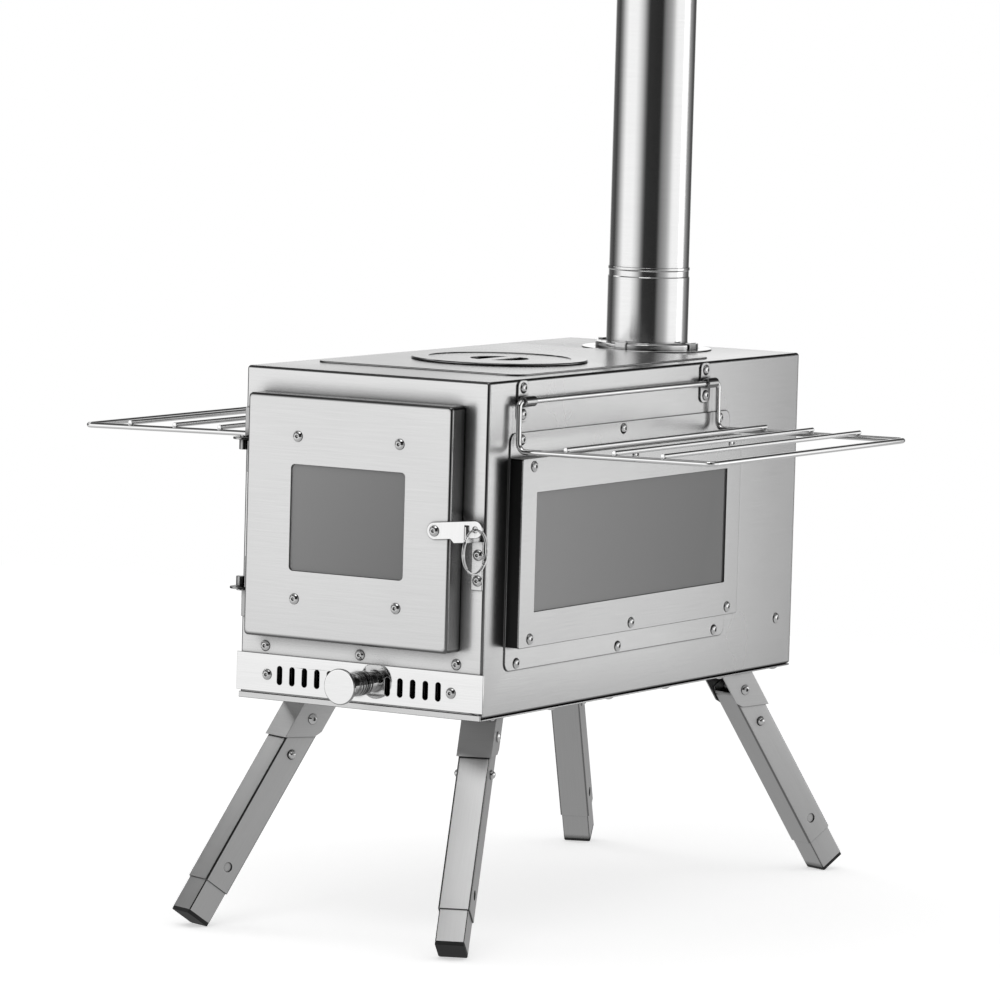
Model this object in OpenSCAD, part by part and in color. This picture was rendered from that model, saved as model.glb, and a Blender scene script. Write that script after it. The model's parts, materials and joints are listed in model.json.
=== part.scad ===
/* [Body] */
// Width of the body across its two sides
body_w = 200; // [196:1:220]
// Length of the body from the front sheet to the back sheet
body_l = 445; // [440:1:460]
// Height of the body without its legs
body_h = 235; // [233:1:245]
// Thickness of the body sheets
sheet = 1.2; // [1:0.1:1.4]
// Outside radius of the bent body edges
bend_r = 2.4; // [2:0.1:3]
// Depth of the hems and return flanges that hold the sheets together
hem_w = 9.5; // [9:0.5:10]

/* [Cook top] */
// Thickness of the top plate
top_t = 1.2; // [1:0.1:1.6]
// Distance from the body sides to the top plate
top_inset = 14.5; // [12:0.5:16]
// Gap between the top plate and the flue flange
top_gap = 2.5; // [1:0.5:8]
// Distance from the front sheet to the top plate
top_from_front = 63; // [56:1:70]
// Corner radius of the top plate
top_r = 12; // [8:1:16]
// Diameter of the lid
lid_d = 127; // [122:1:130]
// Thickness of the lid plate
lid_t = 2; // [1.6:0.1:2.6]
// Distance from the front sheet to the middle of the lid
lid_from_front = 177; // [172:1:182]
// Width of the lid's raised rim around its shallow dish
lid_band = 12.5; // [10:0.5:15]
// Depth of that dish
dish_deep = 0.8; // [0.5:0.1:1]
// Diameter of the lifting well in the lid
well_d = 42; // [38:1:46]
// Depth of the lifting well
well_deep = 12; // [10:1:14]
// Width of the lifting strap across the well
strap_w = 11; // [9:1:13]

/* [Flue] */
// Outside diameter of the flue pipe
pipe_d = 59.7; // [59:0.1:60.5]
// Wall of the flue pipe
pipe_wall = 0.6; // [0.5:0.1:0.8]
// Distance from the back sheet to the middle of the flue
flue_from_back = 56; // [52:1:60]
// Width of the flue flange past the collar
flange_past = 10; // [8:0.5:11]
// Thickness of the flue flange
flange_t = 1; // [0.8:0.1:1.2]
// Distance from the pipe to the outside of the collar at the foot of the adapter
collar_past = 8.65; // [8:0.05:10]
// Height of the adapter above the flange
adapter_h = 60.4; // [56:0.2:64]
// Length of the flue pipe
pipe_l = 344.6; // [325:0.2:385]
// Depth of a pipe socket
socket_deep = 46; // [40:1:48]
// Radial clearance of the pipe in its socket
pipe_clear = 0.05; // [0.03:0.01:0.1]

/* [Door] */
// Distance from the body's left side to the door
door_left = 13; // [12:0.5:16]
// Distance from the door to the body's right side
door_right = 19; // [18.5:0.5:20]
// Distance from the screws under the door to the door
door_over_screws = 8.7; // [8:0.1:10]
// Distance from the door to the body's top
door_below_top = 17.3; // [16:0.1:20]
// Distance that the door face stands off the front sheet
door_stand = 17; // [16:0.5:18]
// Thickness of the door sheet
door_sheet = 1.2; // [1:0.1:1.4]
// Corner radius of the door outline
door_r = 3; // [2:0.5:4]
// Width of the door sheet beside its window
pane_rim_w = 37.2; // [35:0.2:40]
// Height of the door sheet over and under its window
pane_rim_h = 48.3; // [46:0.1:51]
// Thickness of the door glass
glass_t = 4; // [3:0.5:4.5]
// Distance from the door's edge to the firebox mouth behind it
mouth_in = 13; // [12.5:0.5:15]

/* [Latch] */
// Distance of the latch pivot below the middle of the door
latch_drop = 0.6; // [0:0.1:2]
// Distance from the latch pivot to the door's right edge
latch_in = 11.3; // [11:0.1:11.6]
// Thickness of the latch bar and of its keeper
latch_t = 1.5; // [1.2:0.1:1.8]
// Reach of the latch bar past the keeper's tongue
latch_past = 12.5; // [12:0.1:13]
// Outside diameter of the split ring
ring_d = 32; // [30:0.5:32]
// Wire radius of the split ring
ring_wire_r = 0.6; // [0.5:0.05:0.65]

/* [Air inlet] */
// Distance that the slotted air plate stands past each side of the body
air_past = 2; // [1:0.5:3]
// Height of the slotted air plate
air_h = 27; // [26:0.5:28]
// Thickness of the slotted air plate
air_t = 1.5; // [1.2:0.1:1.8]
// Number of slots on each side of the knob
slot_count = 5; // [3:1:5]
// Distance from the last slot to the screw beside it
slot_margin = 10.5; // [9:0.5:12]
// Distance from the middle to the first slot
slot_first = 24; // [23:0.5:25]
// Width of a slot
slot_w = 4.2; // [3.6:0.1:4.4]
// Length of a slot from end to end
slot_l = 13.2; // [11:0.2:14]
// Diameter of the knob's face
knob_d = 25.4; // [24:0.2:26.6]
// Distance from the air plate to the knob's face
knob_reach = 24.6; // [22:0.2:27]

/* [Side windows] */
// Length of the window cover
cover_l = 310; // [306:1:314]
// Distance from the front sheet to the window cover
cover_from_front = 28.5; // [26:0.5:34]
// Distance that the window cover stands off the body side
cover_stand = 11.5; // [11:0.1:12.5]
// Height of the body side under the plate behind the window
plate_low = 32; // [31:0.5:34]
// Height of the body side over the plate behind the window
plate_below_top = 37; // [36:0.5:40]
// Height of the plate over and under the window cover
plate_rim = 16.9; // [16:0.1:18]
// Length of the cover beside the window opening
view_rim_l = 20; // [18:0.5:24]
// Height of the cover over and under the window opening
view_rim_h = 24.5; // [22:0.5:28]

/* [Side racks] */
// Wire radius of the rack frames
wire_r = 2; // [1.8:0.1:2.1]
// Wire radius of the cross rods
rod_r = 1.8; // [1.5:0.1:1.9]
// Distance between the two arms of a rack
rack_l = 281; // [278:1:286]
// Reach of a rack from its drop to its outer wire
rack_reach = 154; // [145:1:156]
// Distance from the front sheet to the racks
rack_from_front = 31.5; // [28:0.5:36]
// Gap between the window cover and the arms of the lower rack
rack_gap = 0.7; // [0.5:0.1:2]
// Distance that the left rack hangs lower than the right one
rack_left_lower = 1.9; // [0:0.1:2.5]
// Number of cross rods on a rack
rack_rods = 3; // [2:1:4]

/* [Legs] */
// Outside width of the square leg tube
tube_w = 22.4; // [22:0.1:23]
// Wall of both leg tubes
tube_wall = 0.9; // [0.8:0.1:1]
// Length of the outer tube below its pivot
outer_len = 139; // [136:1:142]
// Length of the inner tube that shows when it is pushed in
inner_show = 24.4; // [22:0.2:27]
// Distance from the lower button hole to the end of the outer tube
button_end = 16.2; // [14:0.2:21]
// Tilt of the legs from upright
leg_tilt = 34.3; // [33:0.1:35]
// Splay of the legs from the body's length
leg_splay = 21.5; // [20:0.5:23]
// Drop of the leg pivots below the body
pivot_drop = 16.3; // [16:0.1:17]
// Distance from the body side to the leg pivots
pivot_in = 26; // [25:0.5:28]
// Distance from the front sheet to the front leg pivots
pivot_from_front = 42.5; // [40:0.5:44]
// Distance from the back sheet to the back leg pivots
pivot_from_back = 37.5; // [37:0.5:40]
// Radius of the leg pivot barrel
barrel_r = 2.9; // [2.6:0.1:3]
// Thickness of the rubber foot
foot_t = 2.5; // [2:0.1:3]

/* [Fasteners] */
// Radius of a screw shank
screw_r = 2; // [1.9:0.05:2]
// Radius of a button head
head_r = 3.8; // [3.5:0.1:4]
// Height of a button head
head_h = 2.2; // [2:0.1:2.4]

/* [Hidden] */
$fn = 48;

// Overrun that carries every cut past the face it starts from
cut = 1;
// Clearance of a screw or pin in the sheets it passes
hole_clear = 0.15;
// Clearance between flat parts that slide or seat on each other
slide_clear = 0.1;
// Radial clearance of a turning fit
turn_clear = 0.05;
// Play around parts that swing or drop past each other
swing_clear = 0.4;

// Where the body stands: the leg pivots are symmetric about the origin
pivot_y = (body_l - pivot_from_front - pivot_from_back) / 2;
pivot_x = body_w / 2 - pivot_in;
front_y = -pivot_y - pivot_from_front;
back_y = front_y + body_l;
tube_half = tube_w / 2;
inner_w = tube_w - 2 * tube_wall - 2 * turn_clear;
inner_len = outer_len + inner_show;
leg_len = inner_len + foot_t;
base_z = pivot_drop + leg_len * cos(leg_tilt) + inner_w / 2 * sin(leg_tilt);
top_z = base_z + body_h;
side_x = body_w / 2;
pan_t = sheet;
wrap_low = pan_t + slide_clear;
inner_half = side_x - sheet - slide_clear;

// Sheet details
lip_h = 4.2;
flange_deep = 10;
deck_z = top_z + top_t;
lid_y = front_y + lid_from_front;
flue_y = back_y - flue_from_back;
collar_d = pipe_d + 2 * collar_past;
flange_d = collar_d + 2 * flange_past;
top_l = body_l - flue_from_back - flange_d / 2 - top_gap - top_from_front;
dish_d = lid_d - 2 * lid_band;
lid_lap = 6.5;
lid_hole_d = lid_d - 2 * lid_lap;
lid_rim_t = 1.2;
lid_rim_deep = 7;
lid_edge = 0.6;
well_wall = 1;
pipe_r = pipe_d / 2;
socket_r = pipe_r + pipe_clear;
socket_wall = 0.6;
adapter_r = socket_r + socket_wall;
flue_hole_r = adapter_r + swing_clear;
adapter_low = 12;
band_h = 6.6;
band_in = 0.2;
groove_in = 0.35;
groove_h = 0.8;
stop_in = 1.2;
stop_t = 0.8;
collar_t = 1.2;
collar_h = 4;
catch_w = 9;
catch_t = 1.2;
catch_over = 3;

// Inside the firebox
grate_end = 47.5;
grate_l = body_l - 2 * grate_end;
grate_past_pivot = 4;
grate_w = 2 * (pivot_x + grate_past_pivot);
grate_up = 34;
grate_t = 2;
grate_bar = 18;
grate_slot_l = grate_w / 2 - grate_bar;
grate_slot_w = 8;
grate_slots = 15;
grate_margin = 35;
grate_pitch = (grate_l - 2 * grate_margin) / (grate_slots - 1);
baffle_l = 205;
baffle_t = 1.5;
baffle_below_top = 48.5;
baffle_up = body_h - baffle_below_top;
baffle_slot = 30;
rail_w = 12;

// Fasteners
nut_h = 3.2;
nut_flat = 3.5;
hex = 6;
nut_r = nut_flat / cos(180 / hex);
socket_hex_r = 1.45;
socket_hex_deep = 1.3;
head_rim = 0.5;
hole_r = screw_r + hole_clear;
shank_past = 1.2;

// Heights at the front: air plate, then the screws over it, then the door
air_up = 5.5;
air_mid_up = 12.5;
air_mid = air_up + air_mid_up;
panel_screw_over = 5.5;
panel_screw_up = air_up + air_h + panel_screw_over;

// Door
door_low = panel_screw_up + door_over_screws;
door_w = body_w - door_left - door_right;
door_h = body_h - door_low - door_below_top;
door_x = (door_left - door_right) / 2;
door_z = base_z + door_low + door_h / 2;
pane_w = door_w - 2 * pane_rim_w;
pane_h = door_h - 2 * pane_rim_h;
mouth_w = door_w - 2 * mouth_in;
mouth_h = door_h - 2 * mouth_in;
door_gap = 0.4;
door_y = front_y - door_stand;
pane_r = 3;
pane_lap = 5.5;
door_screw_in = 4.9;
door_screw_over = 19.8;
door_screw_x = pane_w / 2 - door_screw_in;
door_screw_z = pane_h / 2 + door_screw_over;
frame_past_w = 14.1;
frame_past_h = 6.5;
frame_w = 2 * (door_screw_x + frame_past_w);
frame_h = 2 * (door_screw_z + frame_past_h);
frame_lap = 1.8;
frame_r = 4;
rope_w = 10;
rope_room = 0.3;
channel_deep = 9;
lip_back = 2;
hinge_out = 8.4;
hinge_x = door_x - door_w / 2 - hinge_out;
hinge_off = 8;
hinge_y = front_y - hinge_off;
tab_r = 8;
tab_t = 1.5;
tab_rise = 51.3;
tab_fall = 52.7;
tab_leaf_w = 12;
tab_leaf_h = 22;
ear_h = 7;
ear_r = 3.6;
ear_t = 2.2;
ear_leaf_h = 22;
ear_leaf_back = 2.6;
ear_leaf_front = 15;
pin_r = 2;
pin_head_r = 3.2;
pin_head_h = 1.4;

// Latch
latch_x = door_x + door_w / 2 - latch_in;
latch_z = door_z - latch_drop;
latch_y = door_y - slide_clear;
latch_half = 6;
latch_tilt = 5.6;
latch_chin = 9;
chin_from = 12.5;
chin_slope = 2.6;
keeper_in = 3.9;
keeper_x = side_x - keeper_in;
latch_reach = keeper_x - latch_x + latch_past;
tongue_fall = 6.6;
tongue_rise = 5;
tongue_out = 2;
slot_left = 1.9;
slot_right = 1.6;
slot_over = 0.5;
ring_in = 5.8;
ring_out = latch_reach - ring_in;
ring_hole_r = 2.1;
keeper_edge = 7.1;
keeper_foot_fall = 40.6;
keeper_screw_falls = [34, 16.2];
keeper_screw_in = 4.9;
keeper_r = 2;

// Air inlet
air_w = body_w + 2 * air_past;
air_screw_in = 23.9;
air_screw_x = side_x - air_screw_in;
panel_screw_in = 21;
panel_screw_x = side_x - panel_screw_in;
slot_pitch = (air_screw_x - slot_margin - slot_first) / (slot_count - 1);
slot_room = 0.3;
shutter_t = 1;
shutter_h = 20;
shutter_past = 7.4;
shutter_short = 9.6;
shutter_left = air_screw_x - slot_margin + shutter_past;
shutter_right = shutter_left - shutter_short;
shutter_move = slot_pitch / 2;
guide_lap = 2.5;
guide_w = 6;
guide_t = 1;
stem_r = 3;
neck_r = 8.5;
neck_waist_r = 7.6;
neck_ring_h = 1.6;
neck_rings = 2;
neck_step = 3.2;
disc_t = 2.8;
disc_edge = 0.5;

// Side windows
view_l = cover_l - 2 * view_rim_l;
plate_h = body_h - plate_low - plate_below_top;
cover_h = plate_h - 2 * plate_rim;
view_h = cover_h - 2 * view_rim_h;
view_y = front_y + cover_from_front + cover_l / 2;
view_z = base_z + plate_low + plate_h / 2;
cover_t = 1.2;
cover_r = 1.5;
box_line = 0.3;
box_flange = 12;
plate_t = 1;
plate_r = 6;
plate_past = 1;
pane_past = 7;
rope_inset = 7;
box_t = 1.2;
window_screw_in = 15;
window_screw_y = cover_l / 2 - window_screw_in;
cover_screw_in = 5.9;
cover_screw_z = cover_h / 2 - cover_screw_in;
plate_screw_in = 5;
plate_screw_z = plate_h / 2 - plate_screw_in;
lone_screw_from_back = 25;
lone_screw_y = back_y - lone_screw_from_back;
lone_screw_up = 37.5;
lone_screw_z = base_z + lone_screw_up;

// Racks
clip_w = 14;
clip_t = 1.2;
clip_half_h = 14.4;
clip_r = 3.75;
clip_corner = 4.5;
clip_screw = 9.2;
clip_from_end = 12;
rack_x = side_x + clip_t + clip_r;
rack_bend = 4;
arm_bend = 6;
tip_bend = 5;
weld_sink = 0.5;
rod_past = 3;
rod_start = 1;
rack_y = front_y + rack_from_front;
rack_up_right = body_h - bend_r - nut_flat - clip_screw;
rack_up_left = rack_up_right - rack_left_lower;
rack_drop = base_z + rack_up_left - (view_z + cover_h / 2) - wire_r - rack_gap;
tilt_right = 0.7;
tilt_left = -1.2;

// Legs
tube_r = 1.6;
inner_r = 1;
tube_past = 7;
web_gap = 0.3;
cheek_gap = 0.15;
cheek_t = 1.1;
web_low = 23;
cheek_back = 12.4;
cheek_knee = 9.1;
cheek_knee_low = 9.5;
cheek_back_low = 3.5;
bracket_high = 34;
plate_mid = 11;
plate_len = 34;
leg_screw_out = 5.4;
leg_screw_y = tube_half + leg_screw_out;
plate_past_screw = 4.4;
plate_wide = 2 * (leg_screw_y + plate_past_screw);
plate_corner = 5;
button_at = 29.8;
leg_travel = outer_len - button_at - button_end;
button_r = 3.2;
button_clear = 0.2;
button_out = 3.4;
inner_from = 15;
leaf_t = 0.5;
leaf_w = 6;
leaf_l = 34;
plug_l = 14;
plug_gap = 0.2;
corner_signs = [[-1, -1], [1, -1], [-1, 1], [1, 1]];

// Underside screws
base_screw_in = 5.6;
base_screw_first = 22;
base_screw_last = 18;
base_screw_count = 6;
base_screw_pitch = (body_l - base_screw_first - base_screw_last) / (base_screw_count - 1);

steel = [0.78, 0.78, 0.78];
bright = [0.9, 0.9, 0.9];
dark_steel = [0.45, 0.45, 0.46];
glass_grey = [0.35, 0.36, 0.37, 0.7];
rubber = [0.08, 0.08, 0.08];
rope = [0.75, 0.73, 0.68];

// Flat shapes

// A rectangle about the origin with round corners
module round_rect(w, h, r) {
    square([w - 2 * r, h], center = true);
    square([w, h - 2 * r], center = true);
    for (x = [-1, 1], y = [-1, 1])
        translate([x * (w / 2 - r), y * (h / 2 - r)]) circle(r);
}

// A slot with round ends along its second axis
module round_slot(w, l) {
    square([w, l - w], center = true);
    for (y = [-1, 1]) translate([0, y * (l - w) / 2]) circle(w / 2);
}

// A flat ring between two rectangles with round corners
module rect_ring(w, h, r, in_w, in_h, in_r) {
    difference() {
        round_rect(w, h, r);
        round_rect(in_w, in_h, in_r);
    }
}

// Places: each turns a shape drawn flat so that its height points outwards
module on_front(x, z, y = front_y) translate([x, y, z]) rotate([90, 0, 0]) children();
module on_right(y, z, x = side_x) translate([x, y, z]) rotate([90, 0, 90]) children();
module both_sides() {
    children();
    mirror([1, 0, 0]) children();
}

// Hex-socket button head screw seated at the origin, head up, with its nut under the grip
module button_screw(grip, nut = true) {
    dome_h = head_h - head_rim;
    dome_r = (head_r * head_r + dome_h * dome_h) / (2 * dome_h);
    difference() {
        rotate_extrude() intersection() {
            translate([0, head_h - dome_r]) circle(dome_r);
            square([head_r, head_h]);
        }
        translate([0, 0, head_h - socket_hex_deep])
            cylinder(h = socket_hex_deep + cut, r = socket_hex_r, $fn = hex);
    }
    translate([0, 0, -grip - nut_h - shank_past])
        cylinder(h = grip + nut_h + shank_past + head_rim, r = screw_r);
    if (nut) translate([0, 0, -grip - nut_h]) cylinder(h = nut_h, r = nut_r, $fn = hex);
}

// The hole that such a screw needs
module screw_hole(deep) translate([0, 0, -deep - cut]) cylinder(h = deep + 2 * cut, r = hole_r);

// A quarter bend of wire about the origin, from one angle on, in the flat of the first two axes
module wire_bend(bend, from, r)
    rotate([0, 0, from]) rotate_extrude(angle = 90) translate([bend, 0]) circle(r);

// The window's openings and screw holes, drawn flat about its middle
module cover_screw_places() {
    for (y = [-1, 0, 1], z = [-1, 1])
        translate([y * window_screw_y, z * cover_screw_z]) children();
}
module plate_screw_places() {
    for (y = [-1, 0, 1], z = [-1, 1])
        translate([y * window_screw_y, z * plate_screw_z]) children();
}

// Body

module lid_hole() translate([0, lid_y, top_z - sheet - cut])
    cylinder(h = sheet + top_t + 2 * cut, d = lid_hole_d);
module flue_hole() translate([0, flue_y, top_z - sheet - cut])
    cylinder(h = sheet + top_t + 2 * cut, r = flue_hole_r);

module base_screw_places() {
    for (i = [0:base_screw_count - 1])
        translate([side_x - base_screw_in, front_y + base_screw_first + i * base_screw_pitch, base_z])
            rotate([180, 0, 0]) children();
}
module rack_clip_places(up) {
    for (y = [rack_y + clip_from_end, rack_y + rack_l - clip_from_end])
        on_right(y, base_z + up) children();
}
module clip_screw_places() for (s = [-1, 1]) translate([0, s * clip_screw, 0]) children();

// Top and sides folded from one sheet, open below between two hems
module body_wrap() {
    wrap_h = body_h - wrap_low;
    color(steel) difference() {
        translate([0, back_y - sheet, base_z + wrap_low + wrap_h / 2]) rotate([90, 0, 0])
            linear_extrude(body_l - 2 * sheet) difference() {
                round_rect(body_w, wrap_h, bend_r);
                round_rect(body_w - 2 * sheet, wrap_h - 2 * sheet, bend_r - sheet);
                translate([0, -wrap_h / 2]) square([body_w - 2 * hem_w, 2 * sheet + cut], center = true);
            }
        lid_hole();
        flue_hole();
        both_sides() {
            on_right(view_y, view_z) translate([0, 0, -sheet - cut])
                linear_extrude(sheet + 2 * cut) square([view_l + 2 * plate_past, view_h + 2 * plate_past],
                    center = true);
            on_right(view_y, view_z) {
                plate_screw_places() screw_hole(sheet);
            }
            on_right(lone_screw_y, lone_screw_z) screw_hole(sheet);
            base_screw_places() screw_hole(wrap_low + sheet);
        }
        rack_clip_places(rack_up_right) clip_screw_places() screw_hole(sheet);
        mirror([1, 0, 0]) rack_clip_places(rack_up_left) clip_screw_places() screw_hole(sheet);
    }
}

// Flat bottom sheet with a low lip in front
module base_pan() {
    color(steel) difference() {
        union() {
            translate([0, 0, base_z]) linear_extrude(pan_t) {
                translate([0, (front_y + back_y) / 2]) round_rect(body_w, body_l, bend_r);
                translate([0, front_y]) square([body_w, 2 * sheet], center = true);
            }
            translate([0, front_y - sheet / 2, base_z]) linear_extrude(lip_h)
                square([body_w, sheet], center = true);
        }
        both_sides() base_screw_places() screw_hole(wrap_low + sheet);
        leg_places() bracket_screw_places() screw_hole(pan_t);
    }
}

// Outline of an end sheet, seen from outside
module end_sheet() {
    end_h = body_h - wrap_low;
    translate([0, base_z + wrap_low + end_h / 2]) round_rect(body_w, end_h, bend_r);
}
module end_flange() {
    end_h = body_h - wrap_low - 2 * sheet - 2 * slide_clear;
    in_r = bend_r - sheet;
    translate([0, base_z + wrap_low + sheet + slide_clear + end_h / 2])
        rect_ring(2 * inner_half, end_h, in_r, 2 * (inner_half - sheet), end_h - 2 * sheet, in_r / 2);
}

module keeper_screw_places(out) {
    for (fall = keeper_screw_falls)
        on_front(side_x - keeper_screw_in, latch_z - fall, front_y - out) children();
}
// The inlet slots and the slot that the stem of the knob slides in, widened by a room all round
module air_slots(room) {
    stem_w = 2 * (stem_r + swing_clear + room);
    for (s = [-1, 1], i = [0:slot_count - 1])
        translate([s * (slot_first + i * slot_pitch), 0])
            round_slot(slot_w + 2 * room, slot_l + 2 * room);
    translate([shutter_move / 2, 0]) rotate(90) round_slot(stem_w, stem_w + shutter_move);
}

module front_panel() {
    color(steel) difference() {
        union() {
            on_front(0, 0, front_y + sheet) linear_extrude(sheet) end_sheet();
            on_front(0, 0, front_y + sheet + flange_deep) linear_extrude(flange_deep) end_flange();
        }
        on_front(door_x, door_z, front_y + sheet + cut) linear_extrude(sheet + 2 * cut)
            round_rect(mouth_w, mouth_h, frame_r);
        on_front(0, base_z + air_mid, front_y + sheet + cut) linear_extrude(sheet + 2 * cut)
            air_slots(slot_room);
        for (x = [-1, 0, 1]) on_front(x * panel_screw_x, base_z + panel_screw_up) screw_hole(sheet);
        for (x = [-1, 1]) on_front(x * air_screw_x, base_z + air_mid) screw_hole(sheet);
        keeper_screw_places(0) screw_hole(sheet);
    }
}

module back_panel() {
    color(steel) {
        on_front(0, 0, back_y) linear_extrude(sheet) end_sheet();
        on_front(0, 0, back_y - sheet) linear_extrude(flange_deep) end_flange();
    }
}

// Top plate that spreads the heat
module cook_top() {
    color(steel) difference() {
        translate([0, front_y + top_from_front + top_l / 2, top_z]) linear_extrude(top_t)
            round_rect(body_w - 2 * top_inset, top_l, top_r);
        lid_hole();
    }
}

// Baffle on two rails, so that the smoke goes forward before it leaves
module baffle() {
    color(dark_steel) translate([0, back_y - sheet - flange_deep - baffle_l / 2, base_z + baffle_up])
        linear_extrude(baffle_t) difference() {
            round_rect(2 * inner_half - 2 * swing_clear, baffle_l, bend_r);
            translate([0, -baffle_l / 2 + baffle_slot]) round_slot(slot_w * 2, baffle_slot);
        }
}
module baffle_rails() {
    color(dark_steel) both_sides()
        translate([side_x - sheet, back_y - sheet - flange_deep, base_z + baffle_up])
            rotate([90, 0, 0]) linear_extrude(baffle_l) {
                translate([-rail_w, -sheet]) square([rail_w, sheet]);
                translate([-sheet, -rail_w]) square([sheet, rail_w]);
            }
}

// Slotted grate bent from one plate, standing on its two folded edges
module grate() {
    mid_y = (front_y + back_y) / 2;
    color(dark_steel) {
        translate([0, mid_y, base_z + grate_up]) linear_extrude(grate_t) difference() {
            square([grate_w, grate_l], center = true);
            for (i = [0:grate_slots - 1], s = [-1, 1])
                translate([s * grate_w / 4, (i - (grate_slots - 1) / 2) * grate_pitch])
                    rotate(90) round_slot(grate_slot_w, grate_slot_l);
        }
        for (s = [-1, 1]) translate([s * (grate_w - grate_t) / 2, mid_y, base_z + pan_t])
            linear_extrude(grate_up - pan_t) square([grate_t, grate_l], center = true);
    }
}

// Air inlet

module air_plate() {
    color(bright) difference() {
        on_front(0, base_z + air_up + air_h / 2) linear_extrude(air_t) difference() {
            square([air_w, air_h], center = true);
            translate([0, air_mid - air_up - air_h / 2]) air_slots(0);
        }
        for (x = [-1, 1]) on_front(x * air_screw_x, base_z + air_mid, front_y - air_t)
            screw_hole(air_t);
    }
}

// Slotted slide behind the front sheet; moved by half a slot pitch it closes every slot
module air_shutter() {
    hole = screw_r + hole_clear;
    color(steel) on_front(0, base_z + air_mid, front_y + sheet + slide_clear + shutter_t)
        linear_extrude(shutter_t) difference() {
            translate([-shutter_left, -shutter_h / 2])
                square([shutter_left + shutter_right, shutter_h]);
            for (s = [-1, 1], i = [0:slot_count - 1])
                translate([s * (slot_first + i * slot_pitch), 0]) round_slot(slot_w, slot_l);
            circle(hole);
        }
}

// Two strips behind the front sheet that the slide runs between
module shutter_guides() {
    deep = shutter_t + 2 * slide_clear;
    run = shutter_h / 2 + slide_clear;
    color(steel) translate([-shutter_left, front_y + sheet, base_z + air_mid])
        rotate([90, 0, 90]) linear_extrude(shutter_left + shutter_right + shutter_move)
            for (s = [0, 1]) mirror([0, s]) {
                translate([0, run]) square([deep, guide_w - guide_lap]);
                translate([deep, run - guide_lap]) square([guide_t, guide_w]);
            }
}

// Turned knob with ribbed neck, screwed to the slide
module air_knob() {
    inner_y = sheet + slide_clear;
    face = air_t + knob_reach;
    neck_from = air_t + slide_clear;
    rib = neck_step - neck_ring_h;
    color(bright) on_front(0, base_z + air_mid) {
        translate([0, 0, -inner_y]) cylinder(h = inner_y + neck_from, r = stem_r);
        rotate_extrude() {
            translate([0, neck_from]) square([neck_waist_r, face - neck_from - disc_t]);
            for (i = [0:neck_rings]) translate([0, neck_from + i * neck_step])
                square([neck_r, neck_ring_h]);
            translate([0, face - disc_t]) polygon([[0, 0], [knob_d / 2 - disc_edge, 0],
                [knob_d / 2, disc_edge], [knob_d / 2, disc_t - disc_edge],
                [knob_d / 2 - disc_edge, disc_t], [0, disc_t]]);
        }
        translate([0, 0, -inner_y - shutter_t - nut_h - shank_past])
            cylinder(h = shutter_t + nut_h + shank_past, r = screw_r);
        translate([0, 0, -inner_y - shutter_t - nut_h]) cylinder(h = nut_h, r = nut_r, $fn = hex);
    }
}

// Side windows

module at_window() on_right(view_y, view_z) children();

module window_plate() {
    color(steel) at_window() difference() {
        linear_extrude(plate_t) rect_ring(cover_l, plate_h, plate_r, view_l, view_h, cover_r);
        translate([0, 0, plate_t]) plate_screw_places() screw_hole(plate_t);
    }
}
module window_plate_right() window_plate();
module window_plate_left() mirror([1, 0, 0]) window_plate();

// Box frame welded on the plate, with a flange turned in under the cover
module window_box() {
    box_l = cover_l - 2 * box_line;
    box_h = cover_h - 2 * box_line;
    box_top = cover_stand - cover_t;
    in_r = cover_r - box_line;
    color(dark_steel) at_window() difference() {
        translate([0, 0, plate_t]) linear_extrude(box_top - plate_t) round_rect(box_l, box_h, in_r);
        translate([0, 0, plate_t - cut]) linear_extrude(box_top - plate_t + cut - box_t)
            square([box_l - 2 * box_t, box_h - 2 * box_t], center = true);
        translate([0, 0, plate_t]) linear_extrude(box_top)
            square([box_l - 2 * box_flange, box_h - 2 * box_flange], center = true);
        translate([0, 0, box_top]) cover_screw_places() screw_hole(box_t);
    }
}
module window_box_right() window_box();
module window_box_left() mirror([1, 0, 0]) window_box();

module window_cover() {
    color(bright) at_window() difference() {
        translate([0, 0, cover_stand - cover_t]) linear_extrude(cover_t) difference() {
            round_rect(cover_l, cover_h, cover_r);
            square([view_l, view_h], center = true);
        }
        translate([0, 0, cover_stand]) cover_screw_places() screw_hole(cover_t);
    }
}
module window_cover_right() window_cover();
module window_cover_left() mirror([1, 0, 0]) window_cover();

module window_glass() {
    color(glass_grey) at_window()
        translate([0, 0, cover_stand - cover_t - slide_clear - glass_t]) linear_extrude(glass_t)
            square([view_l + 2 * pane_past, view_h + 2 * pane_past], center = true);
}
module window_glass_right() window_glass();
module window_glass_left() mirror([1, 0, 0]) window_glass();

// Woven cord frames that press the panes against their covers
module window_gaskets() {
    cord_h = cover_stand - cover_t - slide_clear - glass_t - plate_t;
    color(rope) both_sides() at_window() translate([0, 0, plate_t]) linear_extrude(cord_h)
        difference() {
            square([view_l + 2 * pane_past, view_h + 2 * pane_past], center = true);
            square([view_l + 2 * (pane_past - rope_inset) + 2 * rope_room,
                view_h + 2 * (pane_past - rope_inset) + 2 * rope_room], center = true);
        }
}

// Screws

module side_screws() {
    color(steel) {
        both_sides() {
            at_window() {
                translate([0, 0, cover_stand]) cover_screw_places() button_screw(cover_t + box_t);
                translate([0, 0, plate_t]) plate_screw_places() button_screw(plate_t + sheet);
            }
            on_right(lone_screw_y, lone_screw_z) button_screw(sheet);
        }
        rack_clip_places(rack_up_right) translate([0, 0, clip_t]) clip_screw_places()
            button_screw(clip_t + sheet);
        mirror([1, 0, 0]) rack_clip_places(rack_up_left) translate([0, 0, clip_t])
            clip_screw_places() button_screw(clip_t + sheet);
    }
}

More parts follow.
